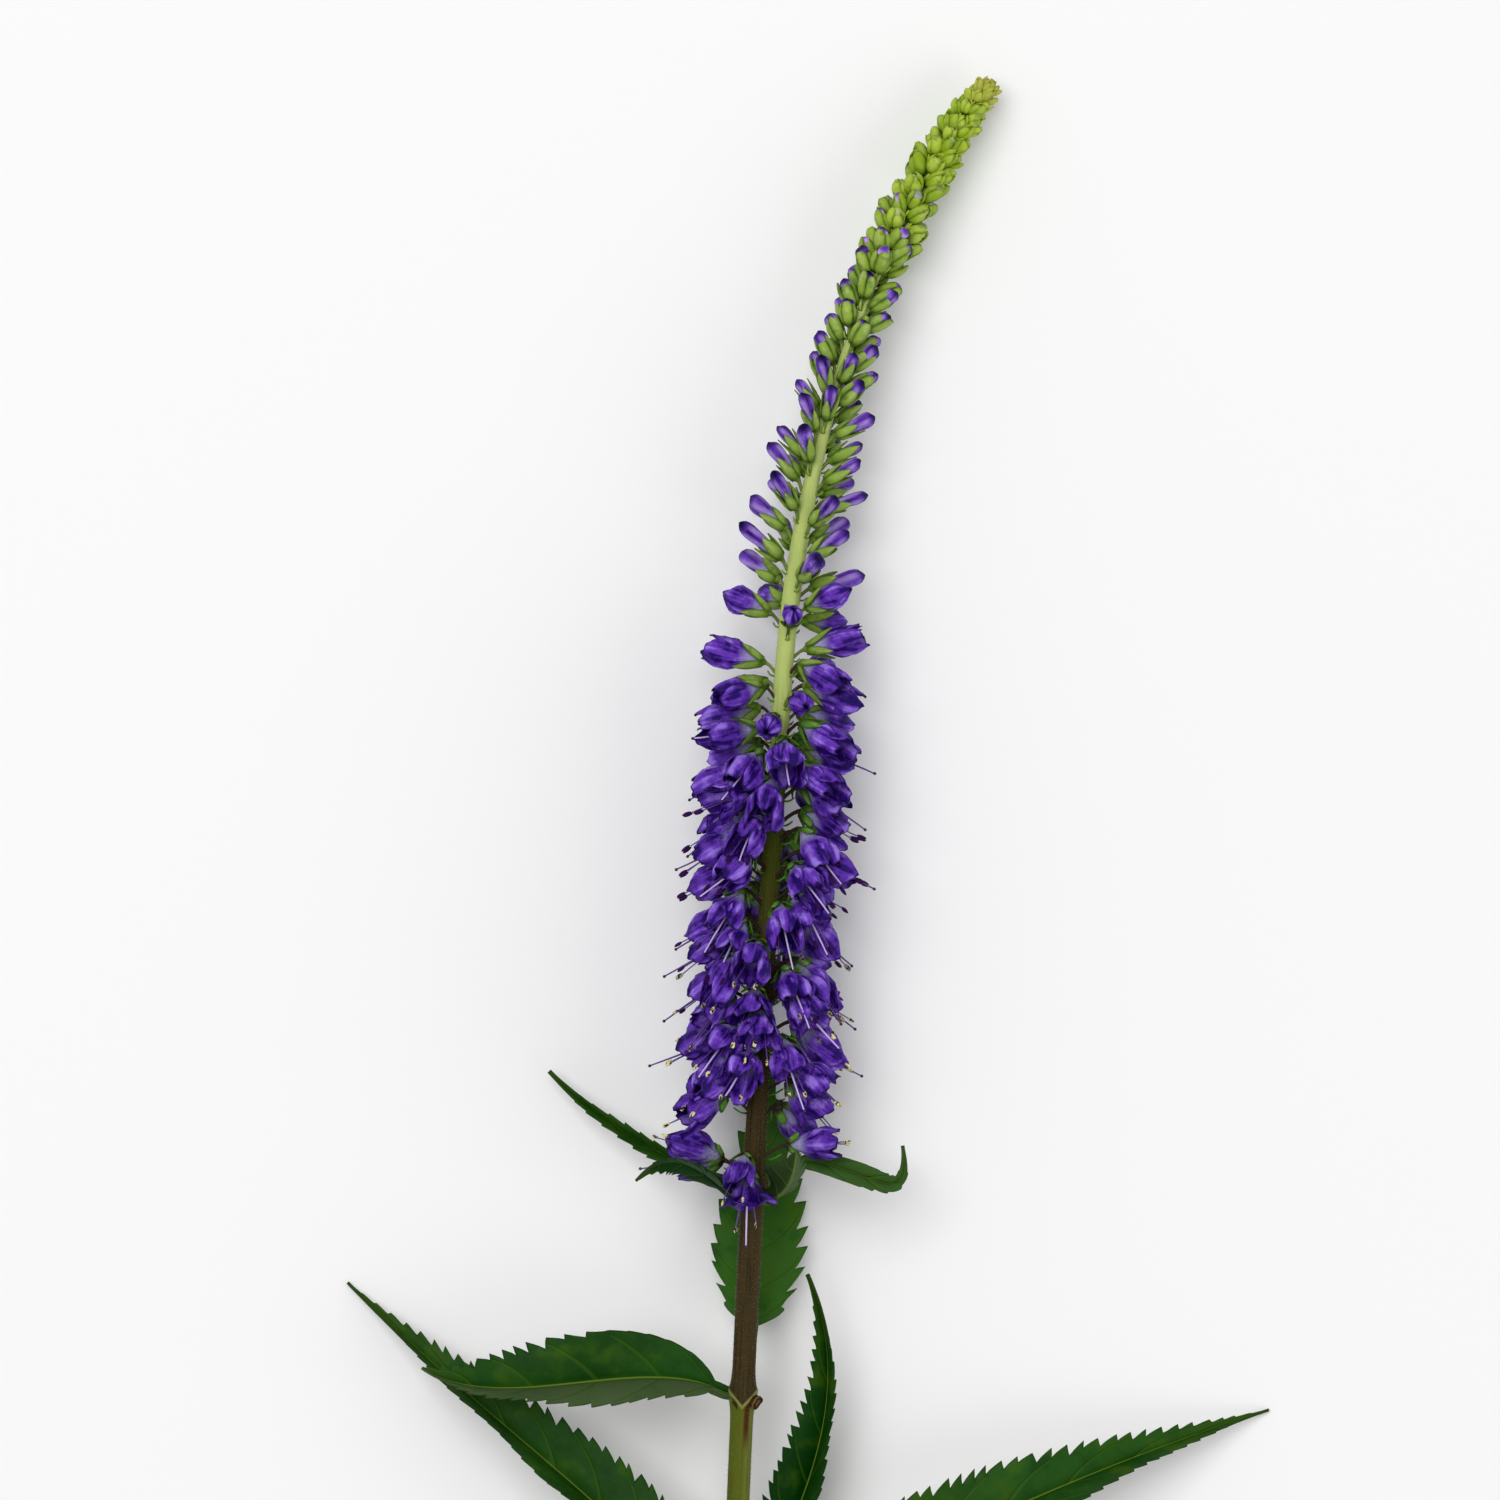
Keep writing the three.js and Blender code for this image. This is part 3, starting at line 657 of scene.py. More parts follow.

# Leaves
#
# Nine toothed blades, each folded along its midrib, with side veins that arch towards its tip. They are dark
# green above and grey green below. Each runs down a short petiole into the stalk's node.

# Places are offsets from the leaf's node to the right and along the stem, and heights above the surface.
# Tilts lift the left and right halves of the blade about the midrib, in degrees, at its base and its tip,
# and roll turns the whole blade. Tooth is the teeth's height on the left and the right margin, smooth is the
# share of each, from the base up, that has hardly any, and light is painted light and shade on either half:
# shaded dark at 0, lit at 1, and past 1 greyer with a painted sheen.
LEAVES = [
    {"name": "leaf_lower_left", "node": LOWER_NODE, "base": (-2.9, 1.8, 10.8),
     "rise": (-8.5, 15, 15.5), "reach": (-31, 28.5, 9), "tip": (-50.4, 47.6, 0.6),
     "half_width": 7, "fullest": 0.32, "petiole": 0.06, "left_tilt": (78, 78), "right_tilt": (4, 4),
     "teeth": 32, "tooth": (0.5, 1.1), "smooth": (0.05, 0.05), "veins": 8, "light": (0.3, 0.3)},
    {"name": "leaf_lower_back", "node": LOWER_NODE, "base": (1.5, 2.1, 8),
     "rise": (5.5, 13, 6.5), "reach": (18, 30.5, 5.5), "tip": (9.8, 49, 9),
     "half_width": 5.4, "fullest": 0.36, "petiole": 0.08, "left_tilt": (6, 40), "right_tilt": (70, 76),
     "teeth": 26, "tooth": (1.1, 0.8), "smooth": (0.05, 0.05), "veins": 7, "light": (0, 0.1)},
    {"name": "leaf_lower_right", "node": LOWER_NODE, "base": (2.6, 0.2, 10.9),
     "rise": (20, 12.8, 16), "reach": (45, 23.3, 10), "tip": (70.5, 30.9, 0.6),
     "half_width": 7.5, "fullest": 0.3, "petiole": 0.05, "left_tilt": (4, 4), "right_tilt": (66, 66),
     "teeth": 36, "tooth": (1.05, 0.5), "smooth": (0.05, 0.05), "veins": 8, "light": (0.5, 0.25)},
    {"name": "leaf_middle_left", "node": MIDDLE_NODE, "base": (-2.5, 0.4, 13.6),
     "rise": (-13, 6, 17), "reach": (-32, -3.5, 14), "tip": (-41.6, 3.5, 14),
     "half_width": 6.6, "fullest": 0.42, "petiole": 0.03, "left_tilt": (50, 88), "right_tilt": (5, 5),
     "teeth": 18, "tooth": (1, 1), "smooth": (0.06, 0.36), "veins": 5, "light": (1.8, 0.25)},
    {"name": "leaf_middle_back", "node": MIDDLE_NODE, "base": (0.3, 1.5, 10.8),
     "rise": (1.5, 9, 6), "reach": (3.2, 24, 0.5), "tip": (3, 46, 0.8),
     "half_width": 6.4, "fullest": 0.32, "petiole": 0.25, "left_tilt": (6, 6), "right_tilt": (6, 6),
     "teeth": 12, "tooth": (1.4, 1.4), "smooth": (0.05, 0.05), "veins": 6, "light": (0.75, 1)},
    {"name": "leaf_upper_left", "node": UPPER_NODE, "base": (-1.9, -0.2, 12.5),
     "rise": (-8, 1.8, 6), "reach": (-19, 6.5, 3.5), "tip": (-26.7, 14.6, 3),
     "half_width": 2.3, "fullest": 0.4, "petiole": 0.06, "left_tilt": (60, 60), "right_tilt": (60, 60),
     "teeth": 13, "tooth": (0.9, 0.9), "smooth": (0.1, 0.2), "veins": 5, "light": (0.45, 0.5)},
    {"name": "leaf_upper_left_front", "node": UPPER_NODE, "base": (-2.7, -1.3, 15.2), "roll": -60,
     "rise": (-6.4, 2.2, 19.5), "reach": (-10.5, 6.2, 22.5), "tip": (-15, 0.9, 20.5),
     "half_width": 2.9, "fullest": 0.42, "petiole": 0.08, "left_tilt": (15, 15), "right_tilt": (15, 15),
     "teeth": 10, "tooth": (1.2, 1.2), "smooth": (0.1, 0.25), "veins": 4, "light": (0.1, 0.2)},
    {"name": "leaf_upper_right", "node": UPPER_NODE, "base": (2.5, 0.2, 13.3),
     "rise": (8, 9.5, 12), "reach": (21.5, -7.5, 11.5), "tip": (19.5, 5.2, 11.5),
     "half_width": 2, "fullest": 0.44, "petiole": 0.08, "left_tilt": (40, 40), "right_tilt": (45, 45),
     "teeth": 10, "tooth": (0.35, 0.35), "smooth": (0.55, 0.45), "veins": 4, "light": (1.35, 1.35)},
    {"name": "leaf_upper_front", "node": UPPER_NODE, "base": (1.8, -1, 16), "roll": 180,
     "rise": (4, -1, 20), "reach": (5.2, 1.6, 26), "tip": (5.4, 5.2, 29),
     "half_width": 3.6, "fullest": 0.42, "petiole": 0.08, "left_tilt": (72, 72), "right_tilt": (10, 10),
     "teeth": 10, "tooth": (0.9, 0.3), "smooth": (0.2, 0.2), "veins": 4, "light": (1, 0.1)},
]
OUTLINE_FULLNESS = 1.85
PETIOLE_HALF_WIDTH = 0.8
PETIOLE_ROWS = 4
TIP_HALF_WIDTH = 0.07
ROOT_STEPS = 7

# A tooth rises along the margin to its crest, hooks forward and falls back.
TOOTH_STEPS = (0, 0.2, 0.4, 0.58, 0.74, 0.8, 0.9)
TOOTH_CREST = 0.74
TOOTH_CURVE = 0.75
TOOTH_HOOK = 0.75
TOOTH_SPREAD = 0.5
TOOTH_MOST = 0.39
TOOTHED_MARGIN = 0.72

BLADE_THICKNESS = 0.36
BLADE_EDGE = 0.12
VEIN_ARCH = (0.1, 0.07)
VEIN_WIDTH = 0.045
MIDRIB_WIDTH = 0.45
MIDRIB_DEPTH = 0.38
MIDRIB_BASE_DEPTH = 0.75
MIDRIB_BASE_LENGTH = 0.1
ARCH_HEIGHT = 0.11
QUILT_HEIGHT = 0.16
RIPPLE_HEIGHT = 0.05
GROOVE_DEPTH = 0.2
GROOVE_WIDTH = 0.05
FOLD_WIDTH = 0.12

RIGHT_COLUMNS = (0.03, 0.09, 0.18, 0.3, 0.43, 0.56, 0.68, 0.79, 0.88, 0.94, 1)
ACROSS = np.array([-share for share in RIGHT_COLUMNS[::-1]] + [0] + list(RIGHT_COLUMNS))


def unit(vectors):
    return vectors / np.linalg.norm(vectors, axis=-1, keepdims=True)


def closed_sheet(top, under):
    """Points and faces of a thin solid between two grids of points, as rows from left to right."""
    rows, columns = top.shape[:2]
    points = np.concatenate([top.reshape(-1, 3), under.reshape(-1, 3)])
    upper = np.arange(rows * columns).reshape(rows, columns)
    lower = upper + rows * columns
    faces = []
    slots = []
    for row in range(rows - 1):
        for column in range(columns - 1):
            faces.append((upper[row, column], upper[row, column + 1],
                          upper[row + 1, column + 1], upper[row + 1, column]))
            faces.append((lower[row, column], lower[row + 1, column],
                          lower[row + 1, column + 1], lower[row, column + 1]))
            slots.extend((0, 1))
    edge = [*upper[0], *upper[1:, -1], *upper[-1, -2::-1], *upper[-2:0:-1, 0]]
    for near, far in zip(edge, edge[1:] + edge[:1]):
        faces.append((near, near + rows * columns, far + rows * columns, far))
        slots.append(0)
    return points, faces, slots


def leaf_outline(leaf, along):
    """Half the blade's width without its teeth."""
    fullest = leaf["fullest"]
    rising = (along / fullest) ** (OUTLINE_FULLNESS * fullest)
    falling = ((1 - along) / (1 - fullest)) ** (OUTLINE_FULLNESS * (1 - fullest))
    return leaf["half_width"] * rising * falling


def leaf_margins(leaf):
    """Rows along the leaf and along its blade, half its width there, and how its teeth rise and how high."""
    bare = leaf["petiole"]
    teeth = range(leaf["teeth"])
    series = 300 + round(10 * leaf["half_width"])
    lengths = [1 + TOOTH_SPREAD * (draw(series, tooth) - 0.5) for tooth in teeth]
    starts = np.concatenate([[0], np.cumsum(lengths)]) / sum(lengths)
    phase = np.tile(TOOTH_STEPS, len(teeth))
    tooth = np.repeat(np.arange(len(teeth)), len(TOOTH_STEPS))
    toothed = starts[tooth] + phase * (starts[tooth + 1] - starts[tooth])
    stalk_rows = np.linspace(0, bare, PETIOLE_ROWS + 1)[:-1]
    rows = np.concatenate([stalk_rows, bare + (1 - bare) * toothed, [1.0]])
    on_blade = np.clip((rows - bare) / (1 - bare), 0, 1)
    outline = leaf_outline(leaf, on_blade)
    half_width = np.maximum(np.maximum(outline, PETIOLE_HALF_WIDTH * (1 - on_blade)), TIP_HALF_WIDTH)

    crest = np.where(phase < TOOTH_CREST, (phase / TOOTH_CREST) ** TOOTH_CURVE,
                     (1 - phase) / (1 - TOOTH_CREST))
    crest = np.concatenate([np.zeros(PETIOLE_ROWS), crest, [0]])
    heights = []
    for number, smooth in enumerate(leaf["smooth"]):
        own = np.array([0.6 + 0.8 * draw(series + 1 + number, tooth_number) for tooth_number in teeth])
        own = np.concatenate([np.full(PETIOLE_ROWS, own[0]), own[tooth], own[-1:]])
        grown = np.clip((on_blade - smooth) / 0.08, 0.12, 1)
        heights.append(np.minimum(leaf["tooth"][number] * own, TOOTH_MOST * outline) * grown)
    height = np.where(ACROSS[None, :] < 0, heights[0][:, None], heights[1][:, None])
    return rows, on_blade, half_width, crest[:, None], height


def leaf_shape(leaf):
    """A blade along a cubic curve, folded, quilted between its veins, and joined to the stalk's node."""
    node = Stand(leaf["node"]).point
    base, rise, reach, tip = [np.array((node.x + x, node.y + y, z)) for x, y, z in
                              (leaf["base"], leaf["rise"], leaf["reach"], leaf["tip"])]
    rows, on_blade, half_width, crest, tooth_height = leaf_margins(leaf)
    side = np.sign(ACROSS)[None, :]
    share = np.abs(ACROSS)[None, :]
    margin = np.clip((share - TOOTHED_MARGIN) / (1 - TOOTHED_MARGIN), 0, 1)
    width = half_width[:, None] * share - tooth_height * (1 - crest) * margin
    width = np.maximum(width, 0.001 + 0.6 * TIP_HALF_WIDTH * share)
    length = np.linalg.norm(rise - base) + np.linalg.norm(reach - rise) + np.linalg.norm(tip - reach)
    hook = TOOTH_HOOK * tooth_height * crest * margin ** 2 / length
    on = np.clip(rows[:, None] + hook, 0, 1)[..., None]

    # The curve, and the directions along, across and out of the blade at each point.
    back = 1 - on
    centre = base * back ** 3 + 3 * rise * back ** 2 * on + 3 * reach * back * on ** 2 + tip * on ** 3
    along = unit((rise - base) * back ** 2 + 2 * (reach - rise) * back * on + (tip - reach) * on ** 2)
    right = unit(np.cross(along, np.array(UP)))
    roll = math.radians(leaf.get("roll", 0))
    right = right * math.cos(roll) + np.cross(along, right) * math.sin(roll)
    top = np.cross(right, along)
    tilts = [np.radians(first + (last - first) * on)
             for first, last in (leaf["left_tilt"], leaf["right_tilt"])]
    tilt = np.where(side[..., None] < 0, tilts[0], tilts[1])
    half = right * side[..., None] * np.cos(tilt) + top * np.sin(tilt)
    left_normal = np.cross(along, -right * np.cos(tilts[0]) + top * np.sin(tilts[0]))
    right_normal = np.cross(right * np.cos(tilts[1]) + top * np.sin(tilts[1]), along)
    lean = np.clip(0.5 + 0.5 * ACROSS / FOLD_WIDTH, 0, 1)[None, :, None]
    normal = unit(left_normal * (1 - lean) + right_normal * lean)

    # The relief: arched halves, quilted between the veins, rippled at the margin, grooved over the midrib.
    out = share[..., None]
    up_blade = on_blade[:, None, None]
    fullness = (half_width / leaf["half_width"])[:, None, None]
    vein_place = (on_blade[:, None] - VEIN_ARCH[0] * share - VEIN_ARCH[1] * share ** 2) * leaf["veins"]
    off_vein = np.abs((vein_place + 0.5) % 1.0 - 0.5)
    vein = np.exp(-((off_vein / (1.6 * VEIN_WIDTH)) ** 2)) * (share < 0.93)
    arch = ARCH_HEIGHT * leaf["half_width"] * fullness * out * (1 - out)
    quilt = QUILT_HEIGHT * fullness * (1 - vein[..., None]) * np.clip(out / 0.2, 0, 1) * (1 - out)
    ripple = (RIPPLE_HEIGHT * leaf["half_width"] * fullness * out ** 3
              * np.sin(2 * math.pi * (up_blade * leaf["veins"] / 2 + 0.25 * side[..., None])))
    groove = GROOVE_DEPTH * np.exp(-((share / GROOVE_WIDTH) ** 2))[..., None] * (1 - up_blade)
    upper = centre + half * width[..., None] + normal * (arch + quilt + ripple - groove)
    midrib = MIDRIB_BASE_DEPTH * np.exp(-on_blade / MIDRIB_BASE_LENGTH) + MIDRIB_DEPTH * (1 - on_blade)
    midrib = midrib[:, None] * np.exp(-((share * half_width[:, None] / MIDRIB_WIDTH) ** 2))
    thickness = (BLADE_EDGE + (BLADE_THICKNESS - BLADE_EDGE) * (1 - share ** 3) + midrib)[..., None]
    under = upper - normal * thickness
    upper[..., 2] = np.maximum(upper[..., 2], thickness[..., 0])
    under[..., 2] = np.maximum(under[..., 2], 0)

    # The petiole bends from the blade's base into the middle of the node.
    heart = np.array(node)
    bend = base - along[0, 0] * 0.4 * np.linalg.norm(base - heart)
    middles = []
    for step in range(ROOT_STEPS):
        on = step / ROOT_STEPS
        back = 1 - on
        middles.append(heart * back ** 2 + 2 * bend * back * on + base * on ** 2)
    upper = np.concatenate([[upper[0] - base + middle for middle in middles], upper])
    under = np.concatenate([[under[0] - base + middle for middle in middles], under])
    on_blade = np.concatenate([np.zeros(ROOT_STEPS), on_blade])
    points, faces, slots = closed_sheet(upper, under)
    across = np.tile(ACROSS, len(on_blade))
    # Each half's light value is painted light and shade, and past 1 a painted sheen.
    light = np.interp(across, (-0.04, 0.04), leaf["light"])
    return Shape().add(points, faces, {"along": np.tile(np.repeat(on_blade, len(ACROSS)), 2),
                                       "across": np.tile(across, 2), "light": np.tile(light, 2)}, slots)


LEAF_DARK = linear(4, 50, 2)
LEAF_LIGHT = linear(50, 96, 22)
LEAF_BLUE_GREEN = linear(14, 68, 20)
LEAF_YELLOW_GREEN = linear(58, 92, 8)
LEAF_OLIVE = linear(32, 48, 12)
# A grey painted sheen, for a half that catches the light at a grazing angle.
LEAF_PAINTED_SHEEN = linear(70, 86, 54)
LEAF_RIB = linear(104, 130, 30)
LEAF_UNDER = linear(62, 88, 40)
LEAF_UNDER_DARK = linear(36, 56, 22)
LEAF_UNDER_RIB = linear(100, 124, 56)


def vein_numbers(finish, veins):
    """Along the blade, out from its midrib, and how much of a side vein is there."""
    along = finish.number("along")
    out = abs(finish.number("across"))
    off_vein = ((along - out * VEIN_ARCH[0] - out * out * VEIN_ARCH[1]) * veins).off_whole()
    vein = (1 - off_vein.eased(VEIN_WIDTH * 0.3, VEIN_WIDTH * 1.5)) * (1 - out.eased(0.8, 0.95))
    return along, out, vein


def leaf_top_finish(veins):
    """Dark green, mottled bluer and yellower, with a pale midrib, faint paler veins, and painted light and
    shade on each half.
    """
    finish = Finish(f"leaf_top_{veins}_veins")
    along, out, vein = vein_numbers(finish, veins)
    place = finish.place()
    mottle = finish.noise(place, 260.0)
    patches = finish.noise(place, 70.0, 2.0)
    pores = finish.noise(place, 1500.0, 2.0)
    light = finish.number("light")
    # The half's light value paints it lit or shaded over the patches, and past 1 greys it with a painted
    # sheen.
    colour = finish.layered(LEAF_DARK, (LEAF_LIGHT, light + (patches - 0.5) * 0.7),
                            (LEAF_BLUE_GREEN, patches.eased(0.5, 0.68) * 0.35),
                            (LEAF_YELLOW_GREEN, mottle.eased(0.5, 0.74) * 0.55),
                            (LEAF_DARK, (1 - mottle).eased(0.5, 0.7) * 0.5),
                            (LEAF_YELLOW_GREEN, along.eased(0.75, 1.0) * 0.45),
                            (LEAF_PAINTED_SHEEN, (light - 1) * (mottle + 0.5)),
                            (LEAF_OLIVE, out.eased(0.95, 1.0) * 0.5),
                            (LEAF_YELLOW_GREEN, vein * 0.4),
                            (LEAF_RIB, (1 - out.eased(0.01, 0.03)) * 0.8))
    relief = mottle * 0.4 + pores * 0.25 - vein * 0.5
    return finish.surface(colour, 0.42 + pores * 0.2, 0.09, relief, 0.16)


def leaf_under_finish(veins):
    """Grey green and dull, with the midrib and veins raised and paler, and painted light and shade on each
    half.
    """
    finish = Finish(f"leaf_under_{veins}_veins")
    along, out, vein = vein_numbers(finish, veins)
    mottle = finish.noise(finish.place(), 320.0)
    # The half's light value paints the underside lit or shaded as well.
    colour = finish.layered(LEAF_UNDER_DARK, (LEAF_UNDER, finish.number("light") + (mottle - 0.5) * 0.8),
                            (LEAF_UNDER_RIB, vein * 0.3),
                            (LEAF_UNDER_RIB, (1 - out.eased(0.015, 0.05)) * 0.7))
    return finish.surface(colour, 0.6, 0.08, mottle * 0.3 + vein, 0.16)


leaf_materials = {veins: (leaf_top_finish(veins), leaf_under_finish(veins))
                  for veins in sorted({leaf["veins"] for leaf in LEAVES})}
for leaf in LEAVES:
    leaf_shape(leaf).piece(leaf["name"] + "_blade", "leaf", leaf_materials[leaf["veins"]], leaf["name"])

# Open bells
#
# Each open floret has a corolla of four broad violet lobes on a short pale tube. The lobes overlap, are
# pleated lengthwise and end bluntly. The upper ones are younger and smaller, and have hardly parted.

# Florets grow on a spiral up the rachis. Places are lengths along the stem, gaps are from one floret to the
# next, turns are in degrees from the upper side, and tilts are in degrees off the rachis.
OPEN_STARTS = 240
BUDS_START = 302.3
TIP_START = 351.3
OPEN_ENDS = BUDS_START - 1.5
OPEN_GAP_KEYS = [(0, 0.64)]
BUD_GAP_KEYS = [(302, 0.87), (328, 0.76), (351, 0.56)]
TURN_STEP = 137.508
TURN_SPREAD = 24
PLACE_SPREAD = 1.1
TILT_KEYS = [(231, 122), (272, 124), (284, 113), (295, 95), (303, 82), (315, 62), (330, 47), (346, 43),
             (356, 48), (364, 45), (374, 40), (380, 22)]
OPEN_TILT_SPREAD = 28
OPEN_UPPER_SIDE_HANG = 18
BUD_TILT_SPREAD = 16
BUD_UPPER_SIDE_HANG = -14
PEDICEL_KEYS = [(231, 2.6), (245, 2.9), (276, 2.7), (288, 2), (300, 1.4), (315, 1.1), (330, 0.8),
                (345, 0.55), (380, 0.35)]
PEDICEL_TILT = 72
AGE_KEYS = [(231, 1), (258, 0.75), (285, 0.15), (298, 0)]


class Floret:
    """One floret: its root on the rachis, its calyx, and its directions over, across and along itself."""

    def __init__(self, place, turn, tilt, series, index, size=1.0):
        stand = Stand(place)
        self.place = place
        self.size = size
        self.series = series
        self.index = index
        self.age = value_at(AGE_KEYS, place)
        self.upward = math.cos(math.radians(turn))
        self.forward = stand.forward
        self.out = stand.outward(math.radians(turn))
        self.skin = stand.point + self.out * stem_radius(place)
        pedicel = value_at(PEDICEL_KEYS, place)
        rise = math.radians(min(PEDICEL_TILT, tilt))
        self.calyx = self.skin + (self.out * math.sin(rise) + self.forward * math.cos(rise)) * pedicel
        lean = math.radians(tilt)
        self.way = self.forward * math.cos(lean) + self.out * math.sin(lean)
        self.across = self.forward.cross(self.out).normalized()
        self.over = self.across.cross(self.way)

    def chance(self, number):
        """The floret's own draw of a number from 0 to 1."""
        return draw(self.series + number, self.index)

    def between(self, low, high, number):
        """A value between two others, by the floret's own draw of a number."""
        return low + (high - low) * self.chance(number)

    def local(self, x, y, z):
        """A point given in the floret's own directions from its calyx."""
        return self.calyx + self.over * x + self.across * y + self.way * z

    def facing(self, spin):
        """The turn of a pattern that lies along Z onto the floret, after a spin about its own length."""
        basis = Matrix((self.over, self.across, self.way)).transposed()
        return (basis @ Matrix.Rotation(spin, 3, "Z")).to_quaternion()

    def plant(self, kind, width, length, tone, spin, point=None):
        """A copy of a pattern: its point, facing, size, kind, tone, age and place."""
        return (self.calyx if point is None else point, self.facing(spin), (width, width, length),
                kind, tone, self.age, self.place)

    def open_spin(self):
        return (self.chance(8) - 0.5) * 0.6

    def closed_spin(self):
        return self.chance(8) * 6


def florets_along(series, start, end, gap_keys, tilt_spread, upper_side_hang=0):
    """Florets on a spiral up the rachis, each a little out of line."""
    florets = []
    place = start
    index = 0
    while place < end:
        moved = place + (draw(series + 1, index) - 0.5) * PLACE_SPREAD
        moved = min(max(moved, start), end)
        turn = index * TURN_STEP + (draw(series + 2, index) - 0.5) * TURN_SPREAD
        tilt = value_at(TILT_KEYS, place) + (draw(series + 3, index) - 0.5) * tilt_spread
        tilt += upper_side_hang * max(0, math.cos(math.radians(turn)))
        florets.append(Floret(moved, turn, tilt, series, index))
        place += value_at(gap_keys, place)
        index += 1
    return florets


# A bell's length and the half width of its mouth by place, and how high above the surface its mouth has to
# be, which is more over the leaf that lies under the lowest ones.
BELL_LENGTH_KEYS = [(231, 7.4), (276, 7.4), (290, 7.9), (302, 7.4)]
BELL_MOUTH_KEYS = [(231, 2.5), (288, 2.41), (296, 2.2), (302, 1.9)]
MOUTH_HEIGHT = 2.9
MOUTH_HEIGHT_OVER_LEAF = 6
LEAF_BELOW_ENDS = 256
BARE_ENDS = 246
BARE_SIDE = 0.5
THIN_STARTS = 262
UPPER_SIDE = 0.78
YOUNG_STARTS = 291
YOUNG_SIZE = 0.68
OPENING_ENDS = 307
OPENING_SIZE = 0.92
BUD_UPPER_SIDE = 0.8

# Florets in the lowest axils: place, turn, tilt, size as a share of the others', and kind of corolla.
AXIL_FLORETS = [(235.8, 88, 84, 0.95, 7), (233.6, -82, 72, 1, 3), (233.4, -97, 98, 1, 5),
                (234.6, -16, 141, 0.8, 7), (232.7, -8, 168, 0.84, 8)]


def hangs_clear(floret):
    """Whether a bell stays above the surface, and above the leaf that lies under the lowest ones."""
    mouth = floret.local(0, 0, value_at(BELL_LENGTH_KEYS, floret.place))
    return mouth.z > (MOUTH_HEIGHT_OVER_LEAF if floret.place < LEAF_BELOW_ENDS else MOUTH_HEIGHT)


def stands_bare(floret):
    """Whether the rachis's upper side is bare there: just above the axils, and in places higher up."""
    if floret.place < BARE_ENDS:
        return floret.upward > BARE_SIDE
    kept = 2 if floret.place < YOUNG_STARTS else 3
    return floret.place > THIN_STARTS and floret.upward > UPPER_SIDE and floret.index % kept > 0


def hides_rachis(floret):
    """Every second bud on the upper side is left out, so that the rachis shows between the others."""
    return floret.upward > BUD_UPPER_SIDE and floret.index % 2 > 0


axil_florets = [Floret(place, turn, tilt, 60, index, size)
                for index, (place, turn, tilt, size, kind) in enumerate(AXIL_FLORETS)]
spiral_florets = [floret for floret in florets_along(10, OPEN_STARTS, OPEN_ENDS, OPEN_GAP_KEYS,
                                                     OPEN_TILT_SPREAD, OPEN_UPPER_SIDE_HANG)
                  if hangs_clear(floret) and not stands_bare(floret)]
closed_florets = florets_along(20, BUDS_START + 1, TIP_START - 0.4, BUD_GAP_KEYS, BUD_TILT_SPREAD,
                               BUD_UPPER_SIDE_HANG)
opening_florets = [floret for floret in closed_florets if floret.place < OPENING_ENDS]
for floret in spiral_florets + opening_florets:
    if floret.place > YOUNG_STARTS and floret.upward > UPPER_SIDE:
        floret.size = YOUNG_SIZE
    elif floret in opening_florets:
        floret.size = OPENING_SIZE
open_florets = axil_florets + spiral_florets + opening_florets
bud_florets = [floret for floret in closed_florets
               if floret.place >= OPENING_ENDS and not hides_rachis(floret)]

# A lobe's rows and columns as shares of its length and half width, the corolla's radii along it, and the
# half turn that a lobe spans.
PATTERN_LENGTH = 7.2
PATTERN_MOUTH = 2.45
COROLLA_START = 0.5
COROLLA_RADII = [(0, 0.5), (0.12, 0.74), (0.24, 1.25), (0.38, 1.85), (0.55, 2.2), (0.75, 2.3), (1, 2.15)]
LOBE_HALF_TURNS = [(0, 50), (0.24, 54), (0.5, 62), (0.8, 60), (0.93, 52), (1, 40)]
LOBE_ROWS = np.array([0, 0.1, 0.2, 0.31, 0.42, 0.53, 0.64, 0.75, 0.85, 0.93, 1])
LOBE_COLUMNS = np.array([-1, -0.86, -0.68, -0.46, -0.23, 0, 0.23, 0.46, 0.68, 0.86, 1])
LOBE_THICKNESS = 0.1
LOBE_INSET = 0.1
LOBE_BULGE = 0.16
LOBE_CREASE = 0.18
LOBE_FOLD = 0.46
LOBE_TURN_SPREAD = 0.3
LOBE_LENGTH_SPREAD = 0.36
LOBE_FLARE_SPREAD = 1.15
LOBE_SWAY = 0.12
CLOSING_STARTS = 0.7

# Kinds of corolla: how far the lobes flare, how far their ends close in, and how ragged they are. Fresh
# ones come first, then open ones, a blunt one and a splayed one for the lowest axils, and a closed one.
COROLLA_KINDS = [(-0.1, 0.3, 0.6), (0.1, 0.2, 0.75), (0.25, 0.12, 0.85), (-0.2, 0.2, 1), (0.15, 0.1, 1.2),
                 (-0.3, 0.1, 1), (0.5, 0, 1.2), (0, 0.12, 0.4), (2, 0, 0.8), (0, 0.8, 0.4)]
FRESH_KINDS = 3
OPEN_KINDS = 4
YOUNG_KIND = 9
FRESH_STARTS = 284


def sheet_over(grid, rows, columns, thickness):
    """Points, faces and numbers of a thin closed sheet along a grid of points."""
    normal = unit(np.cross(np.gradient(grid, axis=1), np.gradient(grid, axis=0)))
    points, faces = closed_sheet(grid + normal * thickness / 2, grid - normal * thickness / 2)[:2]
    numbers = {"along": np.tile(np.repeat(rows, len(columns)), 2), "across": np.tile(columns, 2 * len(rows))}
    return points, faces, numbers


def round_axis(radius, turn, height):
    """A grid of points from radii, turns and heights about the Z axis."""
    return np.stack([radius * np.cos(turn), radius * np.sin(turn), height + 0 * turn], axis=-1)


def keyed(keys, values):
    return np.interp(values, *zip(*keys))


def climbed(along, start, span):
    """How far a share has climbed from 0 at a start to 1 a span beyond it."""
    return np.clip((along - start) / span, 0, 1)


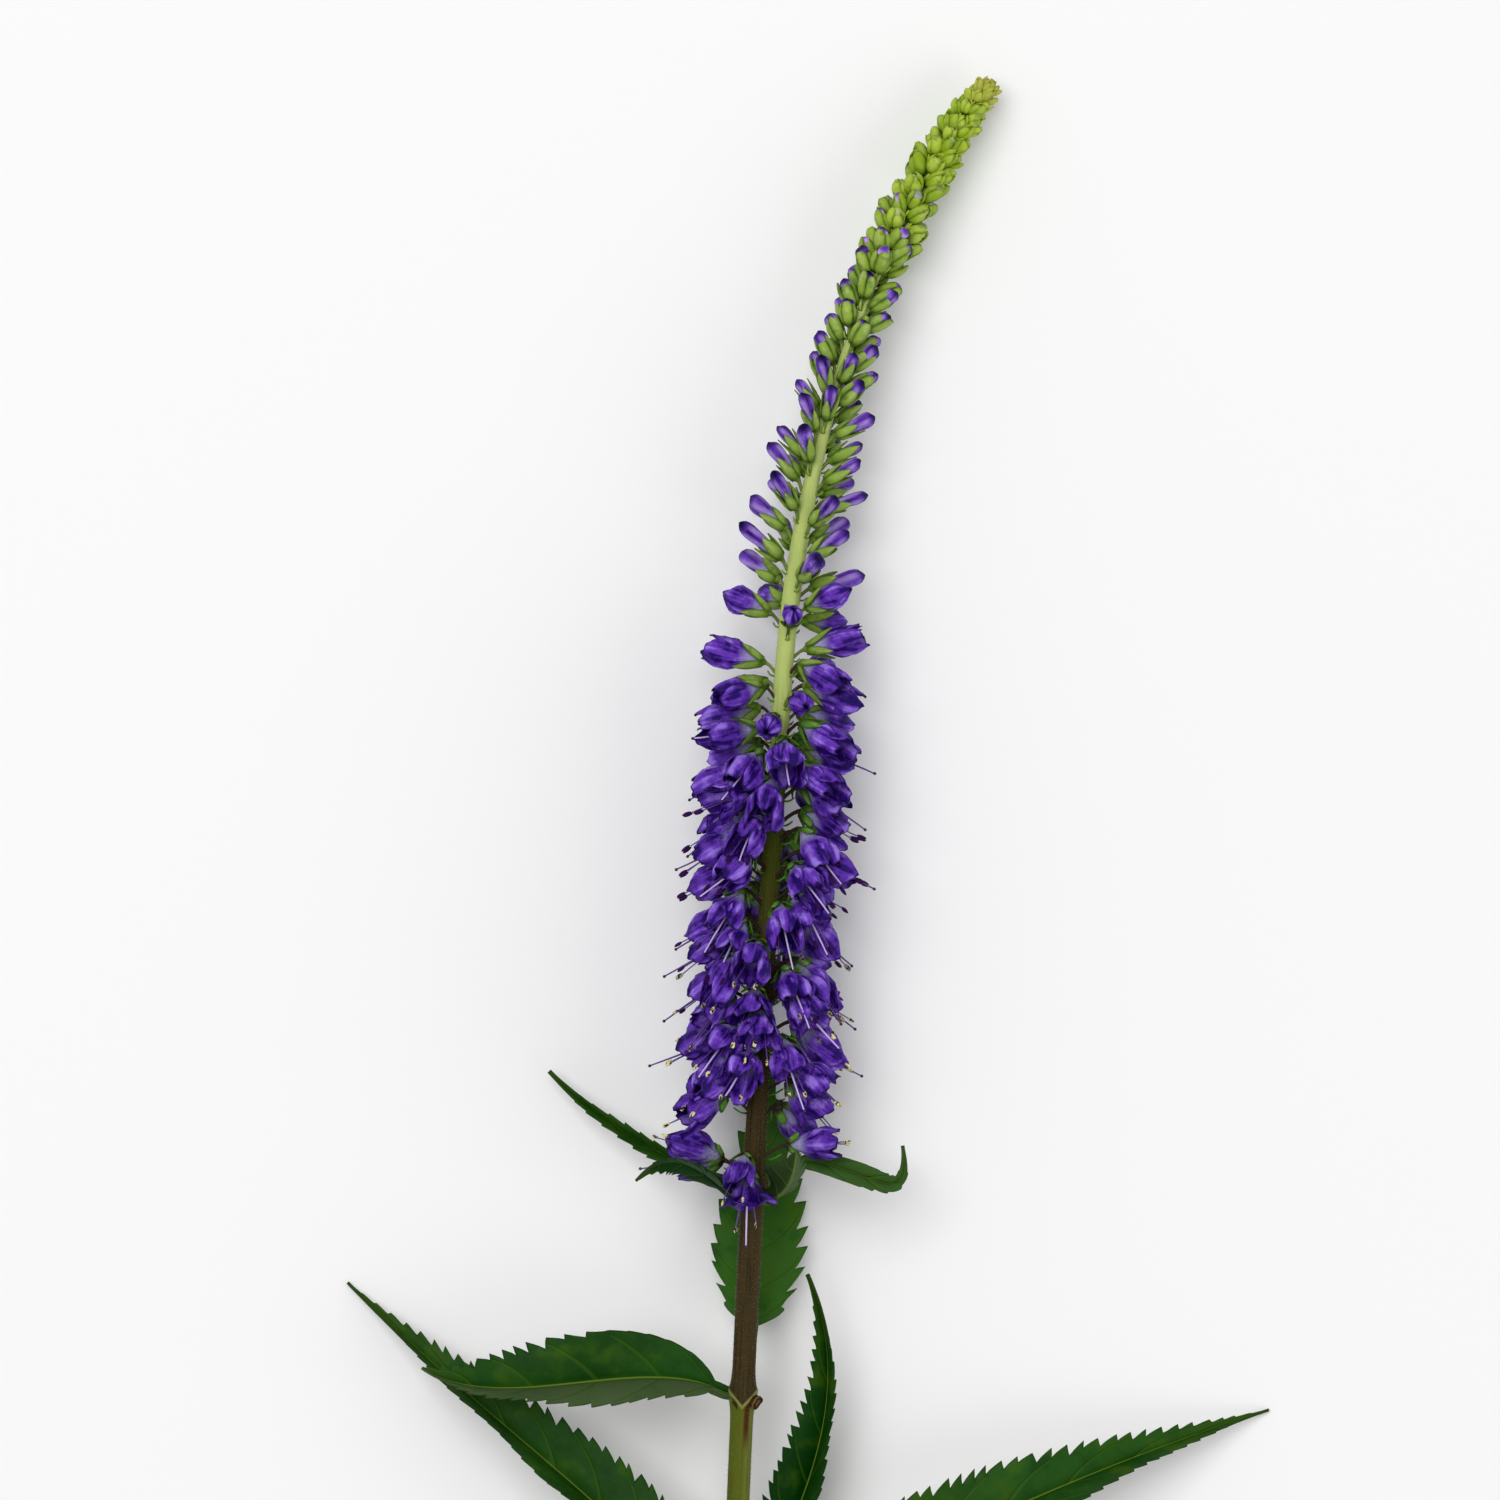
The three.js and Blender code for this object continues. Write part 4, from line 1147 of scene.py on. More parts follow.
def corolla_shape(series, flare, closing, ragged):
    """Four lobes about the Z axis. Each is crumpled, and has its own length, flare and wavy end."""
    shape = Shape()
    along = LOBE_ROWS[:, None]
    across = LOBE_COLUMNS[None, :]
    outer = np.abs(across)
    opened = climbed(along, 0.18, 0.3)
    end = climbed(along, 0.55, 0.45)
    closed = closing * climbed(along, CLOSING_STARTS, 1 - CLOSING_STARTS) ** 2
    crease = np.exp(-(((outer - 0.6) / 0.16) ** 2))
    for lobe in range(4):
        waves = [6.3 * draw(series + 3 + number, lobe) for number in range(4)]
        middle = lobe * math.pi / 2 + (draw(series, lobe) - 0.5) * LOBE_TURN_SPREAD
        longer = 1 + (draw(series + 1, lobe) - 0.62) * LOBE_LENGTH_SPREAD * ragged
        lobe_flare = flare + (draw(series + 2, lobe) - 0.5) * LOBE_FLARE_SPREAD * ragged
        inset = LOBE_INSET if lobe % 2 else -LOBE_INSET
        fold = (np.sin(4.4 * across + 2.5 * along + waves[0])
                + 0.8 * np.sin(8 * across - 4 * along + waves[1])
                + 0.7 * np.sin(2.2 * across + 9 * along + waves[2])
                + 0.5 * np.sin(5 * across + 15 * along + waves[3])) / 2.4
        ruffle = 0.24 * np.sin(3.6 * across - waves[3]) + 0.14 * np.sin(8.5 * across + waves[1])
        radius = keyed(COROLLA_RADII, along) + inset * opened + lobe_flare * end ** 2
        radius = radius + opened * (LOBE_BULGE * (1 - outer ** 2) - LOBE_CREASE * crease)
        radius = radius + LOBE_FOLD * fold * opened * (0.4 + 0.6 * along)
        radius = (radius + ruffle * end * min(1, ragged) ** 2) * (1 - closed)
        turn = middle + across * np.radians(keyed(LOBE_HALF_TURNS, along)) * (1 + 0.5 * closed)
        turn = turn + LOBE_SWAY * opened * math.sin(waves[3])
        turn = turn + LOBE_SWAY / 2 * np.sin(7 * along + waves[1]) * opened * across
        wavy = 0.04 * np.sin(4.5 * across + waves[1]) + 0.012 * np.sin(11 * across + waves[2])
        reach = along - 0.2 * outer ** 3 * along ** 3 + wavy * ragged * along ** 5
        height = COROLLA_START + (PATTERN_LENGTH * longer - COROLLA_START) * reach
        height = height - max(0, lobe_flare - 0.8) * end ** 2
        points, faces, numbers = sheet_over(round_axis(radius, turn, height), LOBE_ROWS, LOBE_COLUMNS,
                                            LOBE_THICKNESS)
        numbers["lobe"] = np.full(len(points), lobe + 0.37 * series)
        # The fold's height, less the crease, goes to the finish, which paints highlights on the ridges and
        # shade in the creases.
        numbers["fold"] = np.tile(((fold - 0.5 * crease) * opened).ravel(), 2)
        shape.add(points, faces, numbers)
    return shape


def plant_tree():
    """Copies a pattern onto each point, turned, sized and picked as the point says."""
    tree = Tree("planted", {"Patterns": "NodeSocketCollection", "Material": "NodeSocketMaterial"})
    patterns = tree.node("GeometryNodeCollectionInfo", {},
                         {"Collection": tree.given("Patterns"), "Separate Children": True,
                          "Reset Children": True})
    copies = tree.node("GeometryNodeInstanceOnPoints", {},
                       {"Points": tree.given("Geometry"), "Instance": patterns, "Pick Instance": True,
                        "Instance Index": tree.carried("kind", "INT"),
                        "Rotation": tree.carried("facing", "QUATERNION"),
                        "Scale": tree.carried("size", "FLOAT_VECTOR")})
    tree.ended(copies, tree.given("Material"))
    return tree


PLANT_TREE = plant_tree()


def planted(name, slot, shapes, plants, material, *nodes):
    """A piece that repeats patterns. A plant is its point, facing, size, kind, tone, age and place."""
    store = bpy.data.collections.new(name + "_patterns")
    for number, shape in enumerate(shapes):
        label = f"{name}_{number:02d}"
        store.objects.link(bpy.data.objects.new(label, shape.mesh(label, Vector())))
    points, facings, sizes, kinds, tones, ages, places = zip(*plants)
    mesh = bpy.data.meshes.new(name)
    mesh.from_pydata([point * MM + CUT_END for point in points], [], [])
    mesh.attributes.new("facing", "QUATERNION", "POINT").data.foreach_set("value", np.ravel(facings))
    mesh.attributes.new("size", "FLOAT_VECTOR", "POINT").data.foreach_set("vector", np.ravel(sizes))
    mesh.attributes.new("kind", "INT", "POINT").data.foreach_set("value", kinds)
    carry(mesh, {"tone": tones, "age": ages, "place": places})
    grown = PLANT_TREE.grown_on(mesh, {"Patterns": store, "Material": material})
    for pattern in list(store.objects):
        bpy.data.objects.remove(pattern)
    bpy.data.collections.remove(store)
    shown(grown, name, slot, *nodes)


# The lightest violet below is a painted highlight on ridges; the deep violet is both the violet's own deeper
# tone and painted shade in creases, and the edge violet is partly painted shade.
VIOLET = linear(98, 50, 176)
VIOLET_HIGHLIGHT = linear(166, 128, 241)
VIOLET_DEEP = linear(22, 0, 86)
VIOLET_EDGE = linear(16, 0, 62)
LAVENDER = linear(178, 174, 214)
LILAC = linear(196, 168, 234)


def violet_finish(name, pale_span, middle_highlight, dark_end):
    """Violet, crumpled like silk and patchy with painted highlights on its ridges and painted shade in its
    creases, deeper at its edges partly by its own colour and partly by painted shade, and lavender where the
    calyx holds it.

    The lavender fades over a span along the floret, the lilac down a lobe's middle is a painted highlight of
    the given share, and dark_end is how deep its end is.
    """
    finish = Finish(name)
    along, across, tone, age = finish.numbers("along", "across", "tone", "age")
    out = abs(across)
    spread = finish.joined(across * 2.4, along * 0.7, finish.number("lobe") * 3.1 + tone * 17)
    streaks = finish.noise(spread, 2.2)
    crumple = finish.noise(finish.place(), 620.0)
    grain = finish.noise(finish.place(), 1500.0, 2.0)
    # Painted light and shade: the ridges of the folds and crumples get painted highlights, their creases
    # painted shade.
    lit = finish.number("fold") * 0.38 + streaks + crumple
    # A painted lilac highlight down each lobe's middle, of the given share.
    middle = (1 - out.eased(0.1, 0.85)) * (1 - along.eased(0.76, 0.98))
    # The edges and ends are darker, partly the violet's own colour and partly painted shade; on buds the
    # edges are the seams between lobes.
    rim = out.eased(0.8, 1.0) + along.eased(0.93, 1.0)
    pale = 1 - (along + (streaks - 0.5) * 0.16).eased(*pale_span)
    colour = finish.layered(VIOLET, (VIOLET_HIGHLIGHT, lit.eased(1.0, 1.42) * 0.92),
                            (VIOLET_DEEP, (1 - lit).eased(0.0, 0.28) * 0.9),
                            (VIOLET_DEEP, tone * 0.2 + age.eased(0.92, 1.0) * 0.3),
                            (LILAC, middle * middle_highlight),
                            (VIOLET_DEEP, along.eased(0.84, 1.0) * dark_end),
                            (VIOLET_EDGE, rim.eased(0.2, 1.1) * 0.8),
                            (LAVENDER, pale * 0.85))
    return finish.surface(colour, 0.5, 0.1, streaks * 0.3 + crumple * 0.5 + grain * 0.2, 0.9)


BELL_VIOLET = violet_finish("bell_violet", (0.16, 0.42), middle_highlight=0.0, dark_end=0.0)


def corolla_kind(floret):
    if floret in axil_florets:
        return AXIL_FLORETS[floret.index][-1]
    if floret.size < 1:
        return YOUNG_KIND
    if floret.place > FRESH_STARTS:
        return int(floret.chance(7) * FRESH_KINDS)
    return FRESH_KINDS + int(floret.chance(7) * OPEN_KINDS)


plants = []
for floret in open_florets:
    mouth = value_at(BELL_MOUTH_KEYS, floret.place) / PATTERN_MOUTH * floret.between(0.92, 1.06, 5)
    length = value_at(BELL_LENGTH_KEYS, floret.place) / PATTERN_LENGTH * floret.between(0.94, 1.04, 6)
    plants.append(floret.plant(corolla_kind(floret), mouth * floret.size, length * floret.size,
                               floret.chance(9), floret.open_spin()))
corolla_shapes = [corolla_shape(101 + 10 * number, *kind) for number, kind in enumerate(COROLLA_KINDS)]
planted("corollas", "bell", corolla_shapes, plants, BELL_VIOLET, "spike_open")

# Buds
#
# The closed florets higher up are blunt violet clubs, held in their calyxes to nearly half their length.
# They get smaller up the spike, until only their ends show between the sepals.
BUD_LENGTH_KEYS = [(302, 7.3), (315, 6.9), (330, 5.5), (340, 4.6), (350, 3.9)]
BUD_RADIUS_KEYS = [(302, 1.35), (310, 1.15), (318, 1.02), (330, 0.94), (351, 0.92)]
BUD_RADII = [(0, 0.4), (0.2, 0.6), (0.45, 0.8), (0.64, 0.94), (0.8, 1), (0.9, 0.9), (0.96, 0.66),
             (1, 0.2)]
BUD_ROWS = np.array([0, 0.2, 0.4, 0.54, 0.66, 0.77, 0.86, 0.93, 0.975, 1])
BUD_SIDES = 16
BUD_KINDS = 5
BUD_LUMPS = 0.07
BUD_BEND = 0.3


def bud_shape(series):
    """A closed corolla of unit length and unit half width, whose four lobes wrap round one another."""
    phases = [6 * draw(series, number) for number in (0, 2, 4)]
    turns = 2 * math.pi * np.arange(BUD_SIDES)[None, :] / BUD_SIDES
    along = BUD_ROWS[:, None]
    wrap = turns + 0.8 * along + phases[0]
    lumps = BUD_LUMPS * np.sin(3 * turns + 5 * along + phases[1]) * along
    radius = keyed(BUD_RADII, along) * (0.93 + 0.13 * np.abs(np.sin(2 * wrap)) + lumps)
    radius = radius * (1 + 0.3 * (draw(series, 3) - 0.5) * along)
    rings = round_axis(radius, turns, along + 0.03 * np.sin(turns + phases[2]) * along ** 3)
    rings[..., 0] += BUD_BEND * (draw(series, 1) - 0.3) * along ** 2
    points, faces = closed_tube(rings)
    # Across is largest at the seams where the lobes wrap, which the finish darkens partly with painted
    # shade.
    seams = np.cos(2 * wrap) * np.abs(np.cos(2 * wrap))
    # The lumps go to the finish as fold, where their ridges get painted highlights and their hollows painted
    # shade.
    return Shape().add(points, faces, {"along": np.append(np.repeat(BUD_ROWS, BUD_SIDES), (0, 1)),
                                       "across": np.append(seams.ravel(), (0, 0)),
                                       "fold": np.append((lumps * 6).ravel(), (0, 0)),
                                       "lobe": np.full(len(points), series)})


def bud_kind(floret):
    return int(floret.chance(7) * BUD_KINDS)


BUD_VIOLET = violet_finish("bud_violet", (0.28, 0.56), middle_highlight=0.5, dark_end=0.9)
bud_shapes = [bud_shape(201 + kind) for kind in range(BUD_KINDS)]
plants = []
for floret in bud_florets:
    radius = value_at(BUD_RADIUS_KEYS, floret.place) * floret.between(0.84, 1.06, 5)
    length = value_at(BUD_LENGTH_KEYS, floret.place) * floret.between(0.82, 1.04, 6)
    plants.append(floret.plant(bud_kind(floret), radius, length, floret.chance(9), floret.closed_spin()))
planted("closed_corollas", "bud", bud_shapes, plants, BUD_VIOLET, "spike_buds")

# The tip's buds are hidden but for their ends, which fill the mouths of their calyxes.
TIP_GAP_KEYS = [(351, 0.53), (364, 0.4), (380, 0.25)]
TIP_LENGTH_KEYS = [(351, 3.7), (358, 3.6), (368, 3.3), (375, 2.7), (380, 1.9)]
TIP_RADIUS_KEYS = [(351, 1), (360, 1), (368, 0.9), (375, 0.72), (380, 0.48)]
TIP_FULLNESS_KEYS = [(351, 1.06), (361, 1), (367, 0.84)]
TIP_TUFT_TURNS = (20, 150, 265)
TIP_TUFT_TILT = 6
HIDDEN_SHARE = 0.72
VIOLET_FADES = (357, 362)
VIOLET_FADE_SPREAD = 14
GREEN_WHITE = linear(170, 186, 110)

tip_florets = florets_along(30, TIP_START, SPIKE_END, TIP_GAP_KEYS, BUD_TILT_SPREAD)
tip_florets += [Floret(RACHIS_END, turn, TIP_TUFT_TILT, 31, index)
                for index, turn in enumerate(TIP_TUFT_TURNS)]


def tip_length(floret):
    return value_at(TIP_LENGTH_KEYS, floret.place) * floret.between(0.82, 1.02, 6)


def hidden_bud_finish():
    """Violet at the end of the spike's last buds that have coloured, and whitish green beyond them."""
    finish = Finish("hidden_bud")
    along, place, tone = finish.numbers("along", "place", "tone")
    faded = (place + (tone - 0.5) * VIOLET_FADE_SPREAD).eased(*VIOLET_FADES)
    colour = finish.layered(LAVENDER, (LILAC, along.eased(0.6, 0.8)), (VIOLET, along.eased(0.84, 1.0)),
                            (GREEN_WHITE, faded))
    return finish.surface(colour, 0.5, 0.1)


plants = []
for floret in tip_florets:
    radius = HIDDEN_SHARE * value_at(TIP_RADIUS_KEYS, floret.place)
    fullness = value_at(TIP_FULLNESS_KEYS, floret.place) * floret.between(0.94, 1.06, 9)
    plants.append(floret.plant(bud_kind(floret), radius, tip_length(floret) * fullness,
                               floret.chance(12), floret.closed_spin()))
planted("hidden_buds", "tip", bud_shapes, plants, hidden_bud_finish())

# Calyxes
#
# Every floret sits in a small cup with four pointed green sepals. The sepals spread a little from an open
# bell, hug a bud, and close over one another at the tip of the spike.
SEPAL_ROWS = np.array([0, 0.22, 0.45, 0.66, 0.84, 1])
SEPAL_COLUMNS = np.array([-1, -0.5, 0, 0.5, 1])
POINTED = [(0, 0.6), (0.25, 1), (0.5, 0.94), (0.75, 0.62), (1, 0.05)]
BLUNT = [(0, 0.6), (0.25, 0.96), (0.6, 1), (0.84, 0.92), (1, 0.5)]
SEPAL_LENGTHS = (1, 0.86, 1.06, 0.9)
SEPAL_START = 0.15
SEPAL_THICKNESS = 0.14
SEPAL_KEEL = 0.13
SEPAL_OVERLAP = 0.05
SEPAL_NARROWING = 0.08
CUP_ROWS = [(-0.15, 0.3), (0.1, 0.52), (0.45, 0.72), (0.8, 0.6)]
CUP_SIDES = 8

# The kinds: on an open bell, round a bud, closed at the tip, just parted at the tip, and on an old bell.
CALYX_KINDS = [
    {"length": 2.7, "half_width": 0.76, "widths": POINTED,
     "radii": [(0, 0.6), (0.3, 1.08), (0.7, 1.72), (1, 2.15)]},
    {"length": 2.6, "half_width": 0.8, "widths": POINTED,
     "radii": [(0, 0.6), (0.3, 0.94), (0.7, 1.08), (1, 1.14)]},
    {"length": 2.5, "half_width": 0.98, "widths": BLUNT,
     "radii": [(0, 0.62), (0.3, 1.02), (0.65, 1.04), (0.88, 0.74), (1, 0.3)]},
    {"length": 2.5, "half_width": 0.92, "widths": BLUNT,
     "radii": [(0, 0.62), (0.3, 1.04), (0.65, 1.14), (0.88, 1), (1, 0.84)]},
    {"length": 1.9, "half_width": 0.66, "widths": BLUNT,
     "radii": [(0, 0.6), (0.3, 1), (0.7, 1.5), (1, 1.85)]},
]
OPEN_CALYX, BUD_CALYX, CLOSED_CALYX, PARTED_CALYX, OLD_CALYX = range(len(CALYX_KINDS))
OLD_CALYX_ENDS = 280
BLUNT_SEPALS_START = 340
BLUNT_SEPALS_SPREAD = 10
PARTED_SHARE = 0.45
OPEN_SEPAL_KEYS = [(231, 0.9), (280, 0.9), (281, 0.95), (296, 1.36)]
COVER_KEYS = [(302, 0.52), (316, 0.56), (328, 0.7), (340, 0.84), (352, 0.95)]


def calyx_shape(length, half_width, widths, radii):
    """Four keeled sepals about the Z axis on a small cup. Every second one lies a little further in."""
    shape = Shape()
    along = SEPAL_ROWS[:, None]
    across = SEPAL_COLUMNS[None, :]
    keel = SEPAL_KEEL * (1 - np.abs(across)) * (1 - along)
    for sepal in range(4):
        inner = sepal % 2
        middle = (sepal + 0.5) * math.pi / 2
        radius = keyed(radii, along) + keel + SEPAL_OVERLAP * (1 - inner)
        width = half_width * keyed(widths, along) * (1 - SEPAL_NARROWING * inner)
        turn = middle + across * np.minimum(width / radius, 1.2)
        height = SEPAL_START + (length * SEPAL_LENGTHS[sepal] - SEPAL_START) * along
        grid = round_axis(radius, turn, height)
        shape.add(*sheet_over(grid, SEPAL_ROWS, SEPAL_COLUMNS, SEPAL_THICKNESS))
    turns = 2 * math.pi * np.arange(CUP_SIDES) / CUP_SIDES
    points, faces = closed_tube([round_axis(radius, turns, height) for height, radius in CUP_ROWS])
    shape.add(points, faces, {"along": np.zeros(len(points)), "across": np.zeros(len(points))})
    return shape


SEPAL_DEEP = linear(88, 142, 46)
SEPAL_GREEN = linear(138, 166, 68)
SEPAL_DARK = linear(56, 90, 12)
SEPAL_HIGHLIGHT = linear(204, 216, 150)
SEPAL_BROWN = linear(56, 28, 38)
SEPAL_LIME = linear(138, 166, 26)
SEPAL_LIME_TONE_AND_HIGHLIGHT = linear(174, 196, 64)
SEPAL_TAN = linear(188, 180, 82)


def sepal_finish():
    """Green, browner at the base of old florets and yellower towards the tip of the spike, with painted
    highlights and shade.
    """
    finish = Finish("sepal_green")
    along, across, place, tone, age = finish.numbers("along", "across", "place", "tone", "age")
    out = abs(across)
    mottle = finish.noise(finish.place(), 700.0)
    upward = place + (tone - 0.5) * 12
    # The paler lime is partly each floret's own tone and partly a painted highlight towards the sepals'
    # ends.
    lime = finish.mixed(SEPAL_LIME, SEPAL_LIME_TONE_AND_HIGHLIGHT, (mottle + tone * 0.6 + along * 0.4).eased(0.85, 1.35))
    # Darker at the edges, partly the sepals' own colour and partly painted shade in the gaps between them.
    outline = out.eased(0.55, 1.0) * (0.66 - 0.4 * place.eased(354, 366))
    # A painted highlight down the middle of each sepal.
    ridge_highlight = (1 - out).eased(0.4, 1.0) * along.eased(0.15, 0.6) * mottle.eased(0.4, 0.62)
    brown = age * (1 - along.eased(0.1, 0.45)) * 0.9
    colour = finish.layered(SEPAL_DEEP, (SEPAL_GREEN, upward.eased(282, 300)),
                            (lime, upward.eased(340, 369)), (SEPAL_DARK, outline),
                            (SEPAL_HIGHLIGHT, ridge_highlight * (0.5 - 0.25 * place.eased(340, 366))),
                            (SEPAL_DARK, mottle.eased(0.5, 0.72) * 0.55),
                            # Painted shade at the base of each calyx.
                            (SEPAL_DARK, (1 - along.eased(0.0, 0.4)) * 0.5),
                            (SEPAL_TAN, place.eased(375, 380) * 0.7), (SEPAL_BROWN, brown))
    return finish.surface(colour, 0.5, 0.1, mottle, 0.2)


SEPAL_MATERIAL = sepal_finish()
calyx_shapes = [calyx_shape(**kind) for kind in CALYX_KINDS]
open_plants = []
for floret in open_florets:
    kind = OLD_CALYX if floret.place < OLD_CALYX_ENDS else OPEN_CALYX
    width = floret.between(0.95, 1.07, 11) * (0.3 + 0.7 * floret.size)
    length = width * value_at(OPEN_SEPAL_KEYS, floret.place)
    open_plants.append(floret.plant(kind, width, length, floret.chance(12), floret.open_spin()))
bud_plants = []
for floret in bud_florets:
    blunt = floret.place + BLUNT_SEPALS_SPREAD * floret.chance(34) > BLUNT_SEPALS_START
    width = value_at(BUD_RADIUS_KEYS, floret.place) * floret.between(0.96, 1.08, 11)
    covered = value_at(COVER_KEYS, floret.place) * floret.between(0.92, 1.08, 33)
    length = value_at(BUD_LENGTH_KEYS, floret.place) * covered / CALYX_KINDS[BUD_CALYX]["length"]
    bud_plants.append(floret.plant(PARTED_CALYX if blunt else BUD_CALYX, width, length,
                                   floret.chance(12), floret.closed_spin()))
tip_plants = []
for floret in tip_florets:
    kind = PARTED_CALYX if floret.chance(34) < PARTED_SHARE else CLOSED_CALYX
    width = value_at(TIP_RADIUS_KEYS, floret.place) * floret.between(0.84, 1.14, 11)
    length = tip_length(floret) / CALYX_KINDS[CLOSED_CALYX]["length"]
    tip_plants.append(floret.plant(kind, width, length, floret.chance(12), floret.closed_spin()))
planted("open_calyxes", "bell", calyx_shapes, open_plants, SEPAL_MATERIAL)
planted("bud_calyxes", "bud", calyx_shapes, bud_plants, SEPAL_MATERIAL)
planted("tip_calyxes", "tip", calyx_shapes, tip_plants, SEPAL_MATERIAL, "spike_tip")

# Pedicels, filaments and styles
#
# Thin stalks carry the florets on the rachis. Two filaments and one longer style stand out of each open
# bell. They are round threads along short bent lines.
THREAD_SIDES = 6


def thread_tree():
    """Round tubes along chains of edges, as thick as their points say."""
    tree = Tree("threads", {"Sides": "NodeSocketInt", "Material": "NodeSocketMaterial"})
    lines = tree.node("GeometryNodeMeshToCurve", {}, {"Mesh": tree.given("Geometry")})
    profile = tree.node("GeometryNodeCurvePrimitiveCircle", {},
                        {"Resolution": tree.given("Sides"), "Radius": 1.0})
    tubes = tree.node("GeometryNodeCurveToMesh", {},
                      {"Curve": lines, "Profile Curve": profile, "Fill Caps": True,
                       "Scale": tree.carried("thickness", "FLOAT")})
    tree.ended(tubes, tree.given("Material"))
    return tree


THREAD_TREE = thread_tree()


def curved(first, second, third, fourth, count):
    """Points along a cubic curve from the first point to the fourth."""
    points = []
    for step in range(count):
        on = step / (count - 1)
        back = 1 - on
        points.append(first * back ** 3 + second * 3 * back * back * on
                      + third * 3 * back * on * on + fourth * on ** 3)
    return points


def threads(name, slot, lines, material):
    """A piece made of threads. A line is its points, its thickness at each, its tone and its floret."""
    points = []
    edges = []
    numbers = {"thickness": [], "along": [], "tone": [], "age": [], "place": []}
    for line, thicknesses, tone, floret in lines:
        start = len(points)
        points.extend(point * MM + CUT_END for point in line)
        edges.extend((start + step, start + step + 1) for step in range(len(line) - 1))
        numbers["thickness"].extend(value * MM for value in thicknesses)
        numbers["along"].extend(step / (len(line) - 1) for step in range(len(line)))
        for key, value in (("tone", tone), ("age", floret.age), ("place", floret.place)):
            numbers[key].extend([value] * len(line))
    mesh = bpy.data.meshes.new(name)
    mesh.from_pydata(points, edges, [])
    carry(mesh, numbers)
    shown(THREAD_TREE.grown_on(mesh, {"Sides": THREAD_SIDES, "Material": material}), name, slot)


# A pedicel is thicker where it leaves the rachis and where it meets the calyx.
PEDICEL_THICKNESS = 0.21
PEDICEL_SWELLINGS = (1.5, 1.1, 1, 1, 1.15, 1.7)
PEDICEL_GREEN = linear(112, 134, 54)
PEDICEL_BROWN = linear(52, 34, 26)

finish = Finish("pedicel")
upward = finish.number("place") + (finish.number("tone") - 0.5) * 30
colour = finish.mixed(PEDICEL_BROWN, PEDICEL_GREEN, upward.eased(284, 308))
PEDICEL_MATERIAL = finish.surface(colour, 0.6, 0.2)

lines = []
for floret in open_florets + bud_florets + tip_florets:
    line = curved(floret.skin - floret.out * 0.5 - floret.forward * 1.1,
                  floret.skin + floret.out * 0.4 - floret.forward * 0.3,
                  floret.calyx - floret.way * 0.7, floret.calyx + floret.way * 0.1, len(PEDICEL_SWELLINGS))
    thickness = PEDICEL_THICKNESS * floret.between(0.9, 1.2, 13)
    lines.append((line, [thickness * swelling for swelling in PEDICEL_SWELLINGS], floret.chance(14), floret))
threads("pedicels", "bell", lines, PEDICEL_MATERIAL)

# Filaments stand out of the bells that are well open, to either side, and the anthers sit on their ends.
FILAMENT_THICKNESS = 0.08
FILAMENT_POINTS = 6
FILAMENTS_END = 282
LEAST_SIZE = 0.65
FILAMENT_VIOLET = linear(86, 52, 140)
FILAMENT_MATERIAL = Finish("filament").surface(FILAMENT_VIOLET, 0.5)

lines = []
anther_plants = []
for floret in open_florets:
    if floret.place > FILAMENTS_END or floret.size < LEAST_SIZE:
        continue
    length = value_at(BELL_LENGTH_KEYS, floret.place) * floret.size
    for side in (-1, 1):
        reach = length + floret.between(0.3, 1.8, 15 + side)
        aside = side * floret.between(1.0, 1.7, 17 + side)
        lean = 0.7 * (floret.chance(19 + side) - 0.3)
        line = curved(floret.local(0, side * 0.3, 1.5), floret.local(0.1, side * 0.6, 3.5),
                      floret.local(lean * 0.5, aside * 0.8, length - 0.6), floret.local(lean, aside, reach),
                      FILAMENT_POINTS)
        lines.append((line, [FILAMENT_THICKNESS] * FILAMENT_POINTS, floret.chance(21), floret))
        size = 1.25 - 0.6 * floret.age
        anther_plants.append(floret.plant(0, size, size, floret.chance(24 + side),
                                          floret.chance(22 + side) * 3, line[-1]))
threads("filaments", "bell", lines, FILAMENT_MATERIAL)

# Styles are longer, and pale on the upper side of the spike. About one in four has dropped off.
STYLE_SWELLINGS = (1.1, 1.1, 1.1, 1, 1, 0.9, 0.8)
STYLE_THICKNESS = 0.12
STYLE_REACH = 3.7
STYLE_GROWTH_KEYS = [(268, 1), (290, 0.45)]
STYLE_LEAN = 1.4
STYLES_END = 290
STYLE_SHARE = 0.74
PALE_STYLE_SIDE = 0.3
STYLE_PALE = linear(208, 186, 236)
STYLE_PURPLE = linear(84, 40, 124)

finish = Finish("style")
colour = finish.mixed(STYLE_PALE, STYLE_PURPLE, finish.number("tone").eased(0.45, 0.7))
STYLE_MATERIAL = finish.surface(colour, 0.45)

lines = []
stigma_plants = []
for floret in open_florets:
    if floret.place < STYLES_END and floret.size > LEAST_SIZE and floret.chance(35) < STYLE_SHARE:
        length = value_at(BELL_LENGTH_KEYS, floret.place) * floret.size
        grown = value_at(STYLE_GROWTH_KEYS, floret.place)
        reach = length + STYLE_REACH * floret.between(0.62, 1.12, 26) * grown
        lean = STYLE_LEAN * (floret.chance(27) - 0.5)
        aside = STYLE_LEAN * (floret.chance(28) - 0.5)
        line = curved(floret.local(0, 0, 1), floret.local(0, 0, 4),
                      floret.local(lean * 0.4, aside * 0.4, length), floret.local(lean, aside, reach),
                      len(STYLE_SWELLINGS))
        tone = 0.5 * floret.chance(29) + 0.5 * (floret.upward < PALE_STYLE_SIDE)
        lines.append((line, [STYLE_THICKNESS * swelling for swelling in STYLE_SWELLINGS], tone, floret))
        stigma_plants.append(floret.plant(0, 1, 1, floret.chance(30), 0, line[-1]))
threads("styles", "bell", lines, STYLE_MATERIAL)

